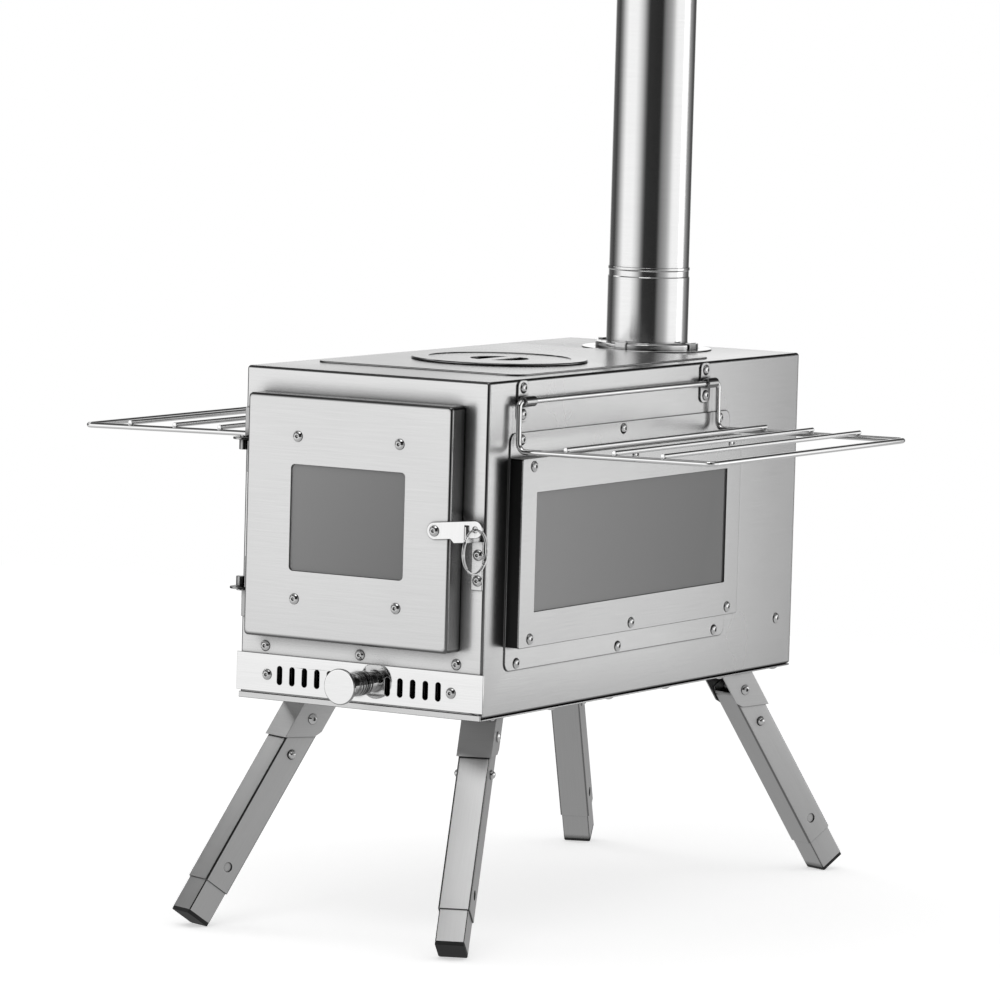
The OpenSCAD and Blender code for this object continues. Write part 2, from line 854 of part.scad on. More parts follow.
module front_screws() {
    color(steel) {
        for (x = [-1, 0, 1]) on_front(x * panel_screw_x, base_z + panel_screw_up)
            button_screw(sheet);
        for (x = [-1, 1]) on_front(x * air_screw_x, base_z + air_mid, front_y - air_t)
            button_screw(air_t + sheet, false);
        keeper_screw_places(latch_t) button_screw(latch_t + sheet, false);
    }
}

module base_screws() {
    color(steel) {
        both_sides() base_screw_places() button_screw(wrap_low + sheet);
        leg_places() bracket_screw_places() translate([0, 0, cheek_t])
            button_screw(cheek_t + pan_t);
    }
}

// Hinges

module hinge_brackets() {
    leaf_x = hinge_x - tab_r + tab_leaf_w;
    color(steel) for (s = [0, 1]) {
        z = door_z + (s == 0 ? tab_rise : -tab_fall - tab_t);
        leaf_from = s == 0 ? 0 : tab_t - tab_leaf_h;
        difference() {
            union() {
                translate([hinge_x, hinge_y, z]) cylinder(h = tab_t, r = tab_r);
                translate([hinge_x - tab_r, hinge_y, z])
                    cube([2 * tab_r, front_y - hinge_y, tab_t]);
            }
            translate([hinge_x, hinge_y, z - cut]) cylinder(h = tab_t + 2 * cut, r = pin_r + turn_clear);
        }
        translate([hinge_x + tab_r - tab_leaf_w, front_y - tab_t, z + leaf_from])
            cube([tab_leaf_w, tab_t, tab_leaf_h]);
    }
}

module hinge_pins() {
    pin_l = tab_t + swing_clear + ear_h;
    color(bright) {
        translate([hinge_x, hinge_y, door_z + tab_rise + tab_t]) {
            translate([0, 0, -pin_l]) cylinder(h = pin_l, r = pin_r);
            cylinder(h = pin_head_h, r = pin_head_r);
        }
        translate([hinge_x, hinge_y, door_z - tab_fall - tab_t]) {
            cylinder(h = pin_l, r = pin_r);
            translate([0, 0, -pin_head_h]) cylinder(h = pin_head_h, r = pin_head_r);
        }
    }
}

// Rolled eyes of the door, on leaves along its side
module door_ears() {
    side = door_x - door_w / 2;
    eye_z = [door_z + tab_rise - rope_room - ear_h, door_z - tab_fall + rope_room];
    color(steel) for (s = [0, 1]) {
        z = eye_z[s];
        leaf_z = s == 0 ? z + ear_h - ear_leaf_h : z;
        difference() {
            union() {
                translate([hinge_x, hinge_y, z]) cylinder(h = ear_h, r = ear_r);
                translate([hinge_x, hinge_y - ear_t / 2, z])
                    cube([side - sheet / 2 - hinge_x, ear_t, ear_h]);
            }
            translate([hinge_x, hinge_y, z - cut])
                cylinder(h = ear_h + 2 * cut, r = pin_r + turn_clear);
        }
        translate([side - sheet, front_y - ear_leaf_front, leaf_z])
            cube([sheet, ear_leaf_front - ear_leaf_back, ear_leaf_h]);
    }
}

// Door

module at_door(back) on_front(door_x, door_z, front_y - back) children();

module door_tray() {
    deep = door_stand - door_gap;
    wall_in = door_r - door_sheet;
    channel = door_sheet + 2 * rope_room + rope_w;
    bottom_from = channel_deep;
    color(bright) difference() {
        union() {
            at_door(door_gap) linear_extrude(deep) rect_ring(door_w, door_h, door_r,
                door_w - 2 * door_sheet, door_h - 2 * door_sheet, wall_in);
            at_door(door_stand - door_sheet) linear_extrude(door_sheet)
                round_rect(door_w, door_h, door_r);
            at_door(door_gap + channel_deep) linear_extrude(door_sheet)
                rect_ring(door_w - door_sheet, door_h - door_sheet, wall_in,
                    door_w - 2 * (channel + door_sheet), door_h - 2 * (channel + door_sheet), pane_r);
            at_door(door_gap + lip_back) linear_extrude(channel_deep + door_sheet - lip_back)
                rect_ring(door_w - 2 * channel, door_h - 2 * channel, pane_r,
                    door_w - 2 * (channel + door_sheet), door_h - 2 * (channel + door_sheet), pane_r);
        }
        at_door(door_stand - door_sheet - cut) linear_extrude(door_sheet + 2 * cut)
            round_rect(pane_w, pane_h, pane_r);
        at_door(door_stand) {
            door_screw_places() screw_hole(door_sheet);
            translate([latch_x - door_x, latch_z - door_z]) screw_hole(door_sheet);
        }
    }
}
module door_screw_places() for (x = [-1, 1], z = [-1, 1])
    translate([x * door_screw_x, z * door_screw_z, 0]) children();

module door_glass() {
    color(glass_grey) at_door(door_stand - door_sheet - slide_clear - glass_t)
        linear_extrude(glass_t) square([pane_w + 2 * pane_lap, pane_h + 2 * pane_lap], center = true);
}

// Frame with a turned rim that clamps the pane against the door sheet
module door_frame() {
    rim = glass_t + 2 * slide_clear;
    back = door_stand - door_sheet - rim - door_sheet;
    color(steel) difference() {
        union() {
            at_door(back) linear_extrude(door_sheet) rect_ring(frame_w, frame_h, frame_r,
                pane_w + 2 * frame_lap, pane_h + 2 * frame_lap, pane_r);
            at_door(back) linear_extrude(rim + door_sheet) rect_ring(frame_w, frame_h, frame_r,
                frame_w - 2 * door_sheet, frame_h - 2 * door_sheet, frame_r - door_sheet);
        }
        at_door(back + door_sheet) door_screw_places() screw_hole(door_sheet);
    }
}

module door_gasket() {
    color(rope) at_door(rope_room) linear_extrude(channel_deep + door_gap - rope_room)
        rect_ring(door_w - 2 * door_sheet - 2 * rope_room, door_h - 2 * door_sheet - 2 * rope_room,
            pane_r, door_w - 2 * (door_sheet + rope_room + rope_w),
            door_h - 2 * (door_sheet + rope_room + rope_w), pane_r);
}

module door_screws() {
    color(steel) at_door(door_stand) {
        door_screw_places() button_screw(glass_t + 2 * slide_clear + 2 * door_sheet);
        translate([latch_x - door_x, latch_z - door_z, latch_t + 2 * slide_clear])
            button_screw(latch_t + 2 * slide_clear + door_sheet);
    }
}

// Latch

module at_latch() translate([latch_x, latch_y, latch_z]) rotate([90, -latch_tilt, 0]) children();

module latch_bar() {
    end_r = latch_half;
    color(bright) difference() {
        at_latch() linear_extrude(latch_t) difference() {
            union() {
                circle(latch_half);
                translate([0, -latch_half]) square([latch_reach - end_r, 2 * latch_half]);
                translate([latch_reach - end_r, 0]) circle(end_r);
                polygon([[chin_from, -latch_half], [chin_from + chin_slope, -latch_chin],
                    [keeper_x - latch_x, -latch_chin], [keeper_x - latch_x, 0], [chin_from, 0]]);
            }
            circle(screw_r + turn_clear);
            translate([ring_out, 0]) circle(ring_hole_r);
        }
        translate([keeper_x - slot_left, latch_y - latch_t - cut, latch_z - 2 * latch_half])
            cube([slot_left + slot_right, latch_t + 2 * cut,
                tongue_rise + slot_over + 2 * latch_half]);
    }
}

// Strike plate with the tongue that the latch bar drops over
module latch_keeper() {
    left = side_x - keeper_screw_in - keeper_edge + keeper_r;
    foot_z = latch_z - keeper_foot_fall;
    tongue_h = tongue_rise + tongue_fall;
    tongue_l = door_stand + latch_t + tongue_out + 2 * slide_clear;
    color(steel) difference() {
        union() {
            translate([left, front_y, foot_z]) rotate([90, 0, 0]) linear_extrude(latch_t) {
                square([keeper_x + latch_t / 2 - left, latch_z + tongue_rise - foot_z]);
                square([side_x - cover_t - left, latch_z - tongue_fall - foot_z]);
            }
            translate([keeper_x - latch_t / 2, front_y - tongue_l, latch_z - tongue_fall])
                cube([latch_t, tongue_l, tongue_h]);
        }
        keeper_screw_places(latch_t) screw_hole(latch_t);
    }
}

module latch_ring() {
    coil_r = ring_d / 2 - ring_wire_r;
    x = latch_x + ring_out * cos(latch_tilt);
    z = latch_z + ring_out * sin(latch_tilt);
    color(bright) on_right(latch_y - latch_t / 2, z - coil_r, x) rotate_extrude()
        for (s = [-1, 1]) translate([coil_r, s * ring_wire_r * coil_share]) circle(ring_wire_r);
}
coil_share = 0.85;

// Racks

// Sleeves on strips that hold the racks
module rack_clip(up) {
    rack_clip_places(up) difference() {
        union() {
            linear_extrude(clip_t) round_rect(clip_w, 2 * clip_half_h, clip_corner);
            translate([-clip_w / 2, 0, clip_t + clip_r]) rotate([0, 90, 0])
                cylinder(h = clip_w, r = clip_r);
            translate([-clip_w / 2, -clip_r / 2, 0]) cube([clip_w, clip_r, clip_t + clip_r]);
        }
        translate([-clip_w / 2 - cut, 0, clip_t + clip_r]) rotate([0, 90, 0])
            cylinder(h = clip_w + 2 * cut, r = wire_r + turn_clear);
        translate([0, 0, clip_t]) clip_screw_places() screw_hole(clip_t);
    }
}
module rack_clips() {
    color(steel) {
        rack_clip(rack_up_right);
        mirror([1, 0, 0]) rack_clip(rack_up_left);
    }
}

// Rack of bent wire with cross rods on its two arms, turned about its pivot by a tilt
module rack(up, tilt) {
    lift = wire_r + rod_r - weld_sink;
    translate([rack_x, rack_y + rack_l / 2, base_z + up]) rotate([0, -tilt, 0])
        translate([0, 0, -rack_drop]) {
            for (s = [0, 1]) mirror([0, s, 0]) translate([0, -rack_l / 2, 0]) {
                translate([0, rack_bend, rack_drop - rack_bend]) rotate([90, 0, 90])
                    wire_bend(rack_bend, 90, wire_r);
                translate([0, 0, arm_bend])
                    cylinder(h = rack_drop - rack_bend - arm_bend, r = wire_r);
                translate([arm_bend, 0, arm_bend]) rotate([90, 0, 0])
                    wire_bend(arm_bend, 180, wire_r);
                translate([arm_bend, 0, 0]) rotate([0, 90, 0])
                    cylinder(h = rack_reach - tip_bend - arm_bend, r = wire_r);
                translate([rack_reach - tip_bend, tip_bend, 0]) wire_bend(tip_bend, -90, wire_r);
            }
            translate([0, rack_bend - rack_l / 2, rack_drop]) rotate([-90, 0, 0])
                cylinder(h = rack_l - 2 * rack_bend, r = wire_r);
            translate([rack_reach, tip_bend - rack_l / 2, 0]) rotate([-90, 0, 0])
                cylinder(h = rack_l - 2 * tip_bend, r = wire_r);
            for (i = [1:rack_rods])
                translate([rack_reach * i / (rack_rods + 1), -rack_l / 2 - rod_start, lift])
                    rotate([-90, 0, 0]) cylinder(h = rack_l + rod_start + rod_past, r = rod_r);
        }
}
module rack_right() color(bright) rack(rack_up_right, tilt_right);
module rack_left() color(bright) mirror([1, 0, 0]) rack(rack_up_left, tilt_left);

// Lid

module lid() {
    r = lid_d / 2;
    low = deck_z - base_z;
    skirt_r = lid_hole_d / 2 - swing_clear;
    color(steel) translate([0, lid_y, deck_z]) {
        difference() {
            rotate_extrude() {
                polygon([[0, 0], [skirt_r - lid_rim_t, 0], [skirt_r - lid_rim_t, -lid_rim_deep],
                    [skirt_r, -lid_rim_deep], [skirt_r, 0], [r - lid_edge, 0], [r, lid_edge],
                    [r, lid_t - lid_edge], [r - lid_edge, lid_t], [dish_d / 2 + dish_deep, lid_t],
                    [dish_d / 2, lid_t - dish_deep], [0, lid_t - dish_deep]]);
            }
            for (s = [-1, 1]) translate([0, 0, -cut]) linear_extrude(lid_t + 2 * cut)
                intersection() {
                    circle(well_d / 2);
                    translate([s * (strap_w + well_d) / 2, 0]) square([well_d, well_d], center = true);
                }
        }
        translate([0, 0, -well_deep]) difference() {
            cylinder(h = well_deep, r = well_d / 2 + well_wall);
            translate([0, 0, well_wall]) cylinder(h = well_deep, r = well_d / 2);
        }
    }
}

// Flue

module flue_flange() {
    r = collar_d / 2;
    color(steel) translate([0, flue_y, top_z]) {
        difference() {
            cylinder(h = flange_t, d = flange_d);
            translate([0, 0, -cut]) cylinder(h = flange_t + 2 * cut, r = flue_hole_r);
        }
        for (a = [0:90:270]) rotate([0, 0, a]) translate([r, 0, 0]) rotate([90, 0, 0])
            translate([0, 0, -catch_w / 2]) linear_extrude(catch_w) {
                translate([slide_clear, 0]) square([catch_t, flange_t + collar_h + catch_t]);
                translate([-catch_over, flange_t + collar_h])
                    square([catch_over + catch_t + slide_clear, catch_t]);
            }
    }
}

// Short pipe with a socket for the flue and a collar held by the catches
module flue_adapter() {
    low = -adapter_low;
    top = flange_t + adapter_h;
    stop = top - socket_deep;
    band = top - band_h;
    cr = collar_d / 2;
    ct = flange_t + collar_h;
    color(bright) translate([0, flue_y, top_z]) rotate_extrude() {
        polygon([[socket_r, low], [adapter_r, low], [adapter_r, ct - collar_t],
            [cr - collar_t, ct - collar_t], [cr - collar_t, flange_t], [cr, flange_t], [cr, ct],
            [adapter_r, ct], [adapter_r, band - groove_h], [adapter_r - groove_in, band - groove_h / 2],
            [adapter_r - band_in, band], [adapter_r - band_in, top], [socket_r, top],
            [socket_r, stop], [socket_r - stop_in, stop], [socket_r - stop_in, stop - stop_t],
            [socket_r, stop - stop_t]]);
    }
}

module flue_pipe() {
    low = flange_t + adapter_h - socket_deep;
    color(bright) translate([0, flue_y, top_z + low]) difference() {
        cylinder(h = pipe_l, r = pipe_r);
        translate([0, 0, -cut]) cylinder(h = pipe_l + 2 * cut, r = pipe_r - pipe_wall);
    }
}

// Legs

module leg_places() for (c = corner_signs) leg_place(c) children();
// Upright frame at a leg pivot, its first axis along the leg's outward lean
module leg_place(c) translate([c[0] * pivot_x, c[1] * pivot_y, base_z - pivot_drop])
    rotate([0, 0, atan2(c[1] * cos(leg_splay), c[0] * sin(leg_splay))]) children();
// Frame whose third axis runs up along the leg
module leg_axis(c) leg_place(c) rotate([0, -leg_tilt, 0]) children();
// The bracket screws, from the underside and heads down
module bracket_screw_places() for (s = [-1, 1])
    translate([-plate_mid, s * leg_screw_y, pivot_drop]) rotate([180, 0, 0]) children();

module across(r, half) rotate([90, 0, 0]) translate([0, 0, -half]) cylinder(h = 2 * half, r = r);

// Channel bracket whose web stops the leg, hung from a plate under the body
module leg_bracket(c) {
    in_half = tube_half + cheek_gap;
    out_half = in_half + cheek_t;
    web = tube_half + web_gap;
    wide = 3 * bracket_high;
    leg_place(c) difference() {
        union() {
            intersection() {
                rotate([0, -leg_tilt, 0]) difference() {
                    rotate([90, 0, 0]) translate([0, 0, -out_half]) linear_extrude(2 * out_half)
                        polygon([[web + cheek_t, -web_low], [-cheek_knee, -cheek_knee_low],
                            [-cheek_back, -cheek_back_low], [-cheek_back, bracket_high],
                            [web + cheek_t, bracket_high]]);
                    translate([web - wide, -in_half, -wide / 2]) cube([wide, 2 * in_half, wide]);
                    across(barrel_r + turn_clear, out_half + cut);
                }
                translate([-wide / 2, -wide / 2, pivot_drop - wide]) cube([wide, wide, wide]);
            }
            translate([-plate_mid, 0, pivot_drop - cheek_t]) linear_extrude(cheek_t)
                round_rect(plate_len, plate_wide, plate_corner);
        }
        translate([0, 0, -cheek_t]) bracket_screw_places() screw_hole(cheek_t);
    }
}
module leg_brackets() color(steel) for (c = corner_signs) leg_bracket(c);

// Pivot barrels with a button head on each side
module leg_bolts() {
    half = tube_half + cheek_gap + cheek_t + slide_clear;
    dome_h = head_h - head_rim;
    dome_r = (head_r * head_r + dome_h * dome_h) / (2 * dome_h);
    color(bright) for (c = corner_signs) leg_axis(c) {
        across(barrel_r, half);
        for (s = [-1, 1]) rotate([s * 90, 0, 0]) translate([0, 0, half]) difference() {
            rotate_extrude() intersection() {
                translate([0, head_h - dome_r]) circle(dome_r);
                square([head_r, head_h]);
            }
            translate([0, 0, head_h - socket_hex_deep])
                cylinder(h = socket_hex_deep + cut, r = socket_hex_r, $fn = hex);
        }
    }
}

module leg_outer(c) {
    in_w = tube_w - 2 * tube_wall;
    color(steel) leg_axis(c) difference() {
        translate([0, 0, -outer_len]) linear_extrude(outer_len + tube_past)
            rect_ring(tube_w, tube_w, tube_r, in_w, in_w, inner_r);
        across(barrel_r + turn_clear, tube_w);
        for (t = [button_at, button_at + leg_travel]) translate([0, 0, -t])
            across(button_r + button_clear, tube_w);
        difference() {
            translate([-tube_w, -tube_w, 0]) cube([2 * tube_w, 2 * tube_w, tube_w]);
            across(tube_half, 2 * tube_w);
        }
    }
}
module leg_inner(c) {
    in_w = inner_w - 2 * tube_wall;
    color(bright) leg_axis(c) difference() {
        translate([0, 0, -inner_len]) linear_extrude(inner_len - inner_from)
            rect_ring(inner_w, inner_w, inner_r - turn_clear, in_w, in_w, inner_r / 2);
        translate([0, 0, -button_at]) across(button_r + button_clear, tube_w);
    }
}

// Sprung strip with two buttons that lock the inner tube
module leg_button(c) {
    in_half = inner_w / 2 - tube_wall - slide_clear;
    root = in_half - leaf_t;
    tip = tube_half + button_out - button_r;
    color(bright) leg_axis(c) translate([0, 0, -button_at]) for (s = [-1, 1]) rotate([s * 90, 0, 0]) {
        translate([0, 0, root]) cylinder(h = tip - root, r = button_r);
        translate([0, 0, tip]) rotate_extrude() intersection() {
            circle(button_r);
            square([button_r, button_r]);
        }
        translate([-leaf_w / 2, 0, 0]) rotate([90, 0, 90]) linear_extrude(leaf_w)
            polygon(s > 0 ? [[button_r, root], [button_r, in_half], [0, in_half], [-leaf_l, 0],
                [-leaf_l, -leaf_t], [0, root]]
                : [[-button_r, root], [-button_r, in_half], [0, in_half], [leaf_l, 0],
                [leaf_l, -leaf_t], [0, root]]);
    }
}

module leg_foot(c) {
    plug_w = inner_w - 2 * tube_wall - 2 * plug_gap;
    color(rubber) leg_axis(c) translate([0, 0, -leg_len]) {
        linear_extrude(foot_t) round_rect(inner_w, inner_w, inner_r);
        linear_extrude(foot_t + plug_l) round_rect(plug_w, plug_w, inner_r / 2);
    }
}

module leg_outer_fl() leg_outer(corner_signs[0]);
module leg_outer_fr() leg_outer(corner_signs[1]);
module leg_outer_bl() leg_outer(corner_signs[2]);
module leg_outer_br() leg_outer(corner_signs[3]);
module leg_inner_fl() leg_inner(corner_signs[0]);
module leg_inner_fr() leg_inner(corner_signs[1]);
module leg_inner_bl() leg_inner(corner_signs[2]);
module leg_inner_br() leg_inner(corner_signs[3]);
module leg_button_fl() leg_button(corner_signs[0]);
module leg_button_fr() leg_button(corner_signs[1]);
module leg_button_bl() leg_button(corner_signs[2]);
module leg_button_br() leg_button(corner_signs[3]);
module leg_foot_fl() leg_foot(corner_signs[0]);
module leg_foot_fr() leg_foot(corner_signs[1]);
module leg_foot_bl() leg_foot(corner_signs[2]);
module leg_foot_br() leg_foot(corner_signs[3]);

// What is drawn

body_wrap();
base_pan();
front_panel();
back_panel();
cook_top();
baffle();
baffle_rails();
grate();
air_plate();
shutter_guides();
window_plate_right();
window_plate_left();
window_box_right();
window_box_left();
window_cover_right();
window_cover_left();
window_glass_right();
window_glass_left();
window_gaskets();
side_screws();
front_screws();
base_screws();
hinge_brackets();
hinge_pins();
latch_keeper();
rack_clips();
flue_flange();
flue_adapter();
leg_brackets();
leg_bolts();
door_tray();
door_ears();
door_glass();
door_frame();
door_gasket();
door_screws();
latch_bar();
latch_ring();
air_shutter();
air_knob();
rack_right();
rack_left();
lid();
flue_pipe();
leg_outer_fl();
leg_outer_fr();
leg_outer_bl();
leg_outer_br();
leg_inner_fl();
leg_inner_fr();
leg_inner_bl();
leg_inner_br();
leg_button_fl();
leg_button_fr();
leg_button_bl();
leg_button_br();
leg_foot_fl();
leg_foot_fr();
leg_foot_bl();
leg_foot_br();
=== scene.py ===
import json
import bmesh
import bpy
import numpy as np
from mathutils import Matrix, Vector

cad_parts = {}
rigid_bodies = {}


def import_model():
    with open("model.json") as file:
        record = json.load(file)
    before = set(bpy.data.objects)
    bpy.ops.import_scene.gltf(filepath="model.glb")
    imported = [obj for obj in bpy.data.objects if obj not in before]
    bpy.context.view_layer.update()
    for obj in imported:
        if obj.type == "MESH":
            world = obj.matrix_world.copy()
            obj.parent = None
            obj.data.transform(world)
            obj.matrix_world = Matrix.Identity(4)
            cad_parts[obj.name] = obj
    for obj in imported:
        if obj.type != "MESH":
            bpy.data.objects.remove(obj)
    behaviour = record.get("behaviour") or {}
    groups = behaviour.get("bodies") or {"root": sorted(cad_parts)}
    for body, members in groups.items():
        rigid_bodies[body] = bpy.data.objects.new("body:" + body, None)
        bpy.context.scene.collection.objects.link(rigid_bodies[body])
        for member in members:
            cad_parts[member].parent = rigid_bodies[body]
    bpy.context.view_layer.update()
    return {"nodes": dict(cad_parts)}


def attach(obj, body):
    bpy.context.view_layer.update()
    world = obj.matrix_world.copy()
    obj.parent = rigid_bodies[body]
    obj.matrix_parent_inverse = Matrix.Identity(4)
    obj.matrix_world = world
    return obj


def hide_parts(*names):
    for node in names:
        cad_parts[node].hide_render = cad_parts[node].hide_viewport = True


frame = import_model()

nodes = frame["nodes"]


# Camera of the picture: a long lens from the front right, a little above the stove.
# Solved from the straight edges of the body, door and windows; no shift and no blur.
def camera_turn(azimuth, elevation, roll):
    """Rows right, up, back: back points from the stove to the lens, right and up are rolled about it."""
    a, e, t = np.radians([azimuth, elevation, roll])
    back = np.array([np.sin(a) * np.cos(e), -np.cos(a) * np.cos(e), np.sin(e)])
    right = np.cross(-back, (0, 0, 1))
    right /= np.linalg.norm(right)
    up = np.cross(right, -back)
    return np.array([right * np.cos(t) + up * np.sin(t), up * np.cos(t) - right * np.sin(t), back])


AZIMUTH, ELEVATION, ROLL = 31.15456, 5.38738, 1.56281
lens = bpy.data.cameras.new("camera")
lens.sensor_width, lens.lens = 36, 223.646
lens.clip_start, lens.clip_end = 0.1, 50
camera = bpy.data.objects.new("camera", lens)
stand = Matrix(camera_turn(AZIMUTH, ELEVATION, ROLL).T.tolist()).to_4x4()
stand.translation = Vector((2.30804, -3.85978, 0.71437))
camera.matrix_world = stand
bpy.context.scene.collection.objects.link(camera)
bpy.context.scene.camera = camera
bpy.context.scene.view_settings.view_transform = "Standard"


# White studio: pale paper floor and a surround that the camera sees as plain white. Steel shows what
# stands round it, so it sees light walls left and right of the camera and one behind the stove, the dark
# room behind the camera, which draws the dark lines along bent edges, and a pale ceiling straight above.
def srgb(code):
    """Linear red, green, blue and alpha of a hex colour: c / 12.92 below 0.04045 and
    ((c + 0.055) / 1.055)^2.4 above."""
    c = np.array([int(code[i:i + 2], 16) for i in (1, 3, 5)]) / 255
    return (*np.where(c <= 0.04045, c / 12.92, ((c + 0.055) / 1.055) ** 2.4).tolist(), 1.0)


def add(tree, kind, inputs=(), **settings):
    """One node in tree: settings are its properties, inputs its sockets by name or number, set or linked."""
    node = tree.nodes.new(kind)
    for name, value in settings.items():
        setattr(node, name, value)
    for name, value in dict(inputs).items():
        socket = node.inputs[name]
        if isinstance(value, bpy.types.NodeSocket):
            tree.links.new(value, socket)
        else:
            socket.default_value = value
    return node


def material(name):
    """A new node material and its tree, still empty."""
    new = bpy.data.materials.new(name)
    new.use_nodes = True
    new.node_tree.nodes.clear()
    return new, new.node_tree


def output(tree, shader):
    """Links the shader to a new output."""
    add(tree, "ShaderNodeOutputMaterial", {"Surface": shader})


def piece(name, shape, stuff, body=None):
    """A mesh at the origin from (points (n, 3) in millimetres, four-cornered faces (m, 4))."""
    points, faces = np.asarray(shape[0], float) / 1000, np.asarray(shape[1], int)
    mesh = bpy.data.meshes.new(name)
    mesh.vertices.add(len(points))
    mesh.vertices.foreach_set("co", points.astype(np.float32).ravel())
    mesh.loops.add(faces.size)
    mesh.loops.foreach_set("vertex_index", faces.astype(np.int32).ravel())
    mesh.polygons.add(len(faces))
    mesh.polygons.foreach_set("loop_start", np.arange(0, faces.size, 4, dtype=np.int32))
    mesh.polygons.foreach_set("use_smooth", np.full(len(faces), True))
    mesh.update(calc_edges=True)
    mesh.validate()
    mesh.materials.append(stuff)
    new = bpy.data.objects.new(name, mesh)
    bpy.context.scene.collection.objects.link(new)
    if body:
        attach(new, body)
    return new


# Matt paper with a faint grain, lifted to near white for the camera, also where it looks through glass.
# Steel sees only a painted glow on it, brighter towards the front left, where the light comes from, and
# dimmer at the back right: painted light in the steel's reflections.
paper, tree = material("studio paper")
grain = add(tree, "ShaderNodeTexNoise", {"Scale": 900.0, "Detail": 2.0})
tone = add(tree, "ShaderNodeValToRGB", {0: grain.outputs["Fac"]})
tone.color_ramp.elements[0].color = srgb("#e4e4e4")
tone.color_ramp.elements[1].color = srgb("#e9e9e9")
lit = add(tree, "ShaderNodeBsdfDiffuse", {"Color": tone.outputs[0]})
path = add(tree, "ShaderNodeLightPath")
seen = add(tree, "ShaderNodeMath", {0: path.outputs["Is Camera Ray"],
    1: path.outputs["Is Transmission Ray"]}, operation="MAXIMUM")
glow = add(tree, "ShaderNodeEmission", {"Color": (1, 1, 1, 1), "Strength": 0.5})
both = add(tree, "ShaderNodeAddShader", {0: lit.outputs[0], 1: glow.outputs[0]})
mix = add(tree, "ShaderNodeMixShader", {0: seen.outputs[0], 1: lit.outputs[0], 2: both.outputs[0]})
place = add(tree, "ShaderNodeTexCoord")
# Painted light: for glossy rays the paper is an emission, stronger towards the front left.
far = add(tree, "ShaderNodeVectorMath", {0: place.outputs["Object"], 1: (-0.52, -0.85, 0)},
    operation="DOT_PRODUCT")
glow_by_direction = add(tree, "ShaderNodeMapRange", {"Value": far.outputs["Value"], "From Min": 0.35, "From Max": 1.2,
    "To Min": 0.5, "To Max": 1.0})
painted_glow = add(tree, "ShaderNodeEmission", {"Color": (1, 1, 1, 1), "Strength": glow_by_direction.outputs[0]})
mix = add(tree, "ShaderNodeMixShader", {0: path.outputs["Is Glossy Ray"], 1: mix.outputs[0],
    2: painted_glow.outputs[0]})
output(tree, mix.outputs[0])
sheet = 1600
floor = piece("floor", ([(-sheet, -sheet, 0), (sheet, -sheet, 0), (sheet, sheet, 0), (-sheet, sheet, 0)],
    [(0, 1, 2, 3)]), paper)

world = bpy.data.worlds.new("studio")
bpy.context.scene.world = world
world.use_nodes = True
tree = world.node_tree
tree.nodes.clear()
where = add(tree, "ShaderNodeTexCoord")
from_camera = add(tree, "ShaderNodeMapping", {"Vector": where.outputs["Generated"],
    "Rotation": (0, 0, np.radians(90 - AZIMUTH))})
circle = add(tree, "ShaderNodeTexGradient", {"Vector": from_camera.outputs[0]}, gradient_type="RADIAL")
walls = add(tree, "ShaderNodeValToRGB", {0: circle.outputs["Fac"]})
# Brightness of the surround by direction, in degrees from the camera's, left negative.
stops = {-180: 0.8, -155: 0.7, -126: 0.05, -112: 0.22, -99: 0.6, -85: 1, -55: 1, -43: 0.75, -33: 0.45,
    -26: 0.18, -19: 0.03, 18: 0.02, 27: 0.2, 45: 0.4, 54: 0.62, 60: 0.9, 68: 1, 95: 1, 103: 0.8,
    112: 0.55, 121: 0.32, 137: 0.12, 147: 0.06, 160: 0.1, 180: 0.12}
band = walls.color_ramp.elements
for degrees, level in stops.items():
    stop = band.new(0.5 + degrees / 360) if -180 < degrees < 180 else band[degrees > 0]
    stop.color = (level, level, level, 1)
apart = add(tree, "ShaderNodeSeparateXYZ", {0: where.outputs["Generated"]})
high = add(tree, "ShaderNodeMapRange", {"Value": apart.outputs["Z"], "From Min": 0.2, "From Max": 0.6,
    "To Min": 1.25, "To Max": 0.15})
path = add(tree, "ShaderNodeLightPath")
over = add(tree, "ShaderNodeMapRange", {"Value": apart.outputs["Z"], "From Min": 0.75, "From Max": 0.95,
    "To Min": 0.0, "To Max": 0.55})
around = add(tree, "ShaderNodeBackground", {"Color": walls.outputs[0], "Strength": high.outputs[0]})
above = add(tree, "ShaderNodeBackground", {"Color": (1, 1, 1, 1), "Strength": over.outputs[0]})
steel_sees = add(tree, "ShaderNodeAddShader", {0: around.outputs[0], 1: above.outputs[0]})
plain = add(tree, "ShaderNodeBackground", {"Color": (1, 1, 1, 1), "Strength": 0.62})
white = add(tree, "ShaderNodeBackground", {"Color": (1, 1, 1, 1), "Strength": 1.0})
mix = add(tree, "ShaderNodeMixShader", {0: path.outputs["Is Glossy Ray"], 1: plain.outputs[0],
    2: steel_sees.outputs[0]})
seen = add(tree, "ShaderNodeMath", {0: path.outputs["Is Camera Ray"],
    1: path.outputs["Is Transmission Ray"]}, operation="MAXIMUM")
mix = add(tree, "ShaderNodeMixShader", {0: seen.outputs[0], 1: mix.outputs[0], 2: white.outputs[0]})
add(tree, "ShaderNodeOutputWorld", {"Surface": mix.outputs[0]})


def soft_box(name, place, target, size, power):
    """A rectangular area lamp at place that points at target."""
    data = bpy.data.lights.new(name, "AREA")
    data.shape, data.size, data.size_y, data.energy = "RECTANGLE", size[0], size[1], power
    lamp = bpy.data.objects.new(name, data)
    lamp.location = place
    lamp.rotation_euler = (Vector(target) - Vector(place)).to_track_quat("-Z", "Y").to_euler()
    bpy.context.scene.collection.objects.link(lamp)


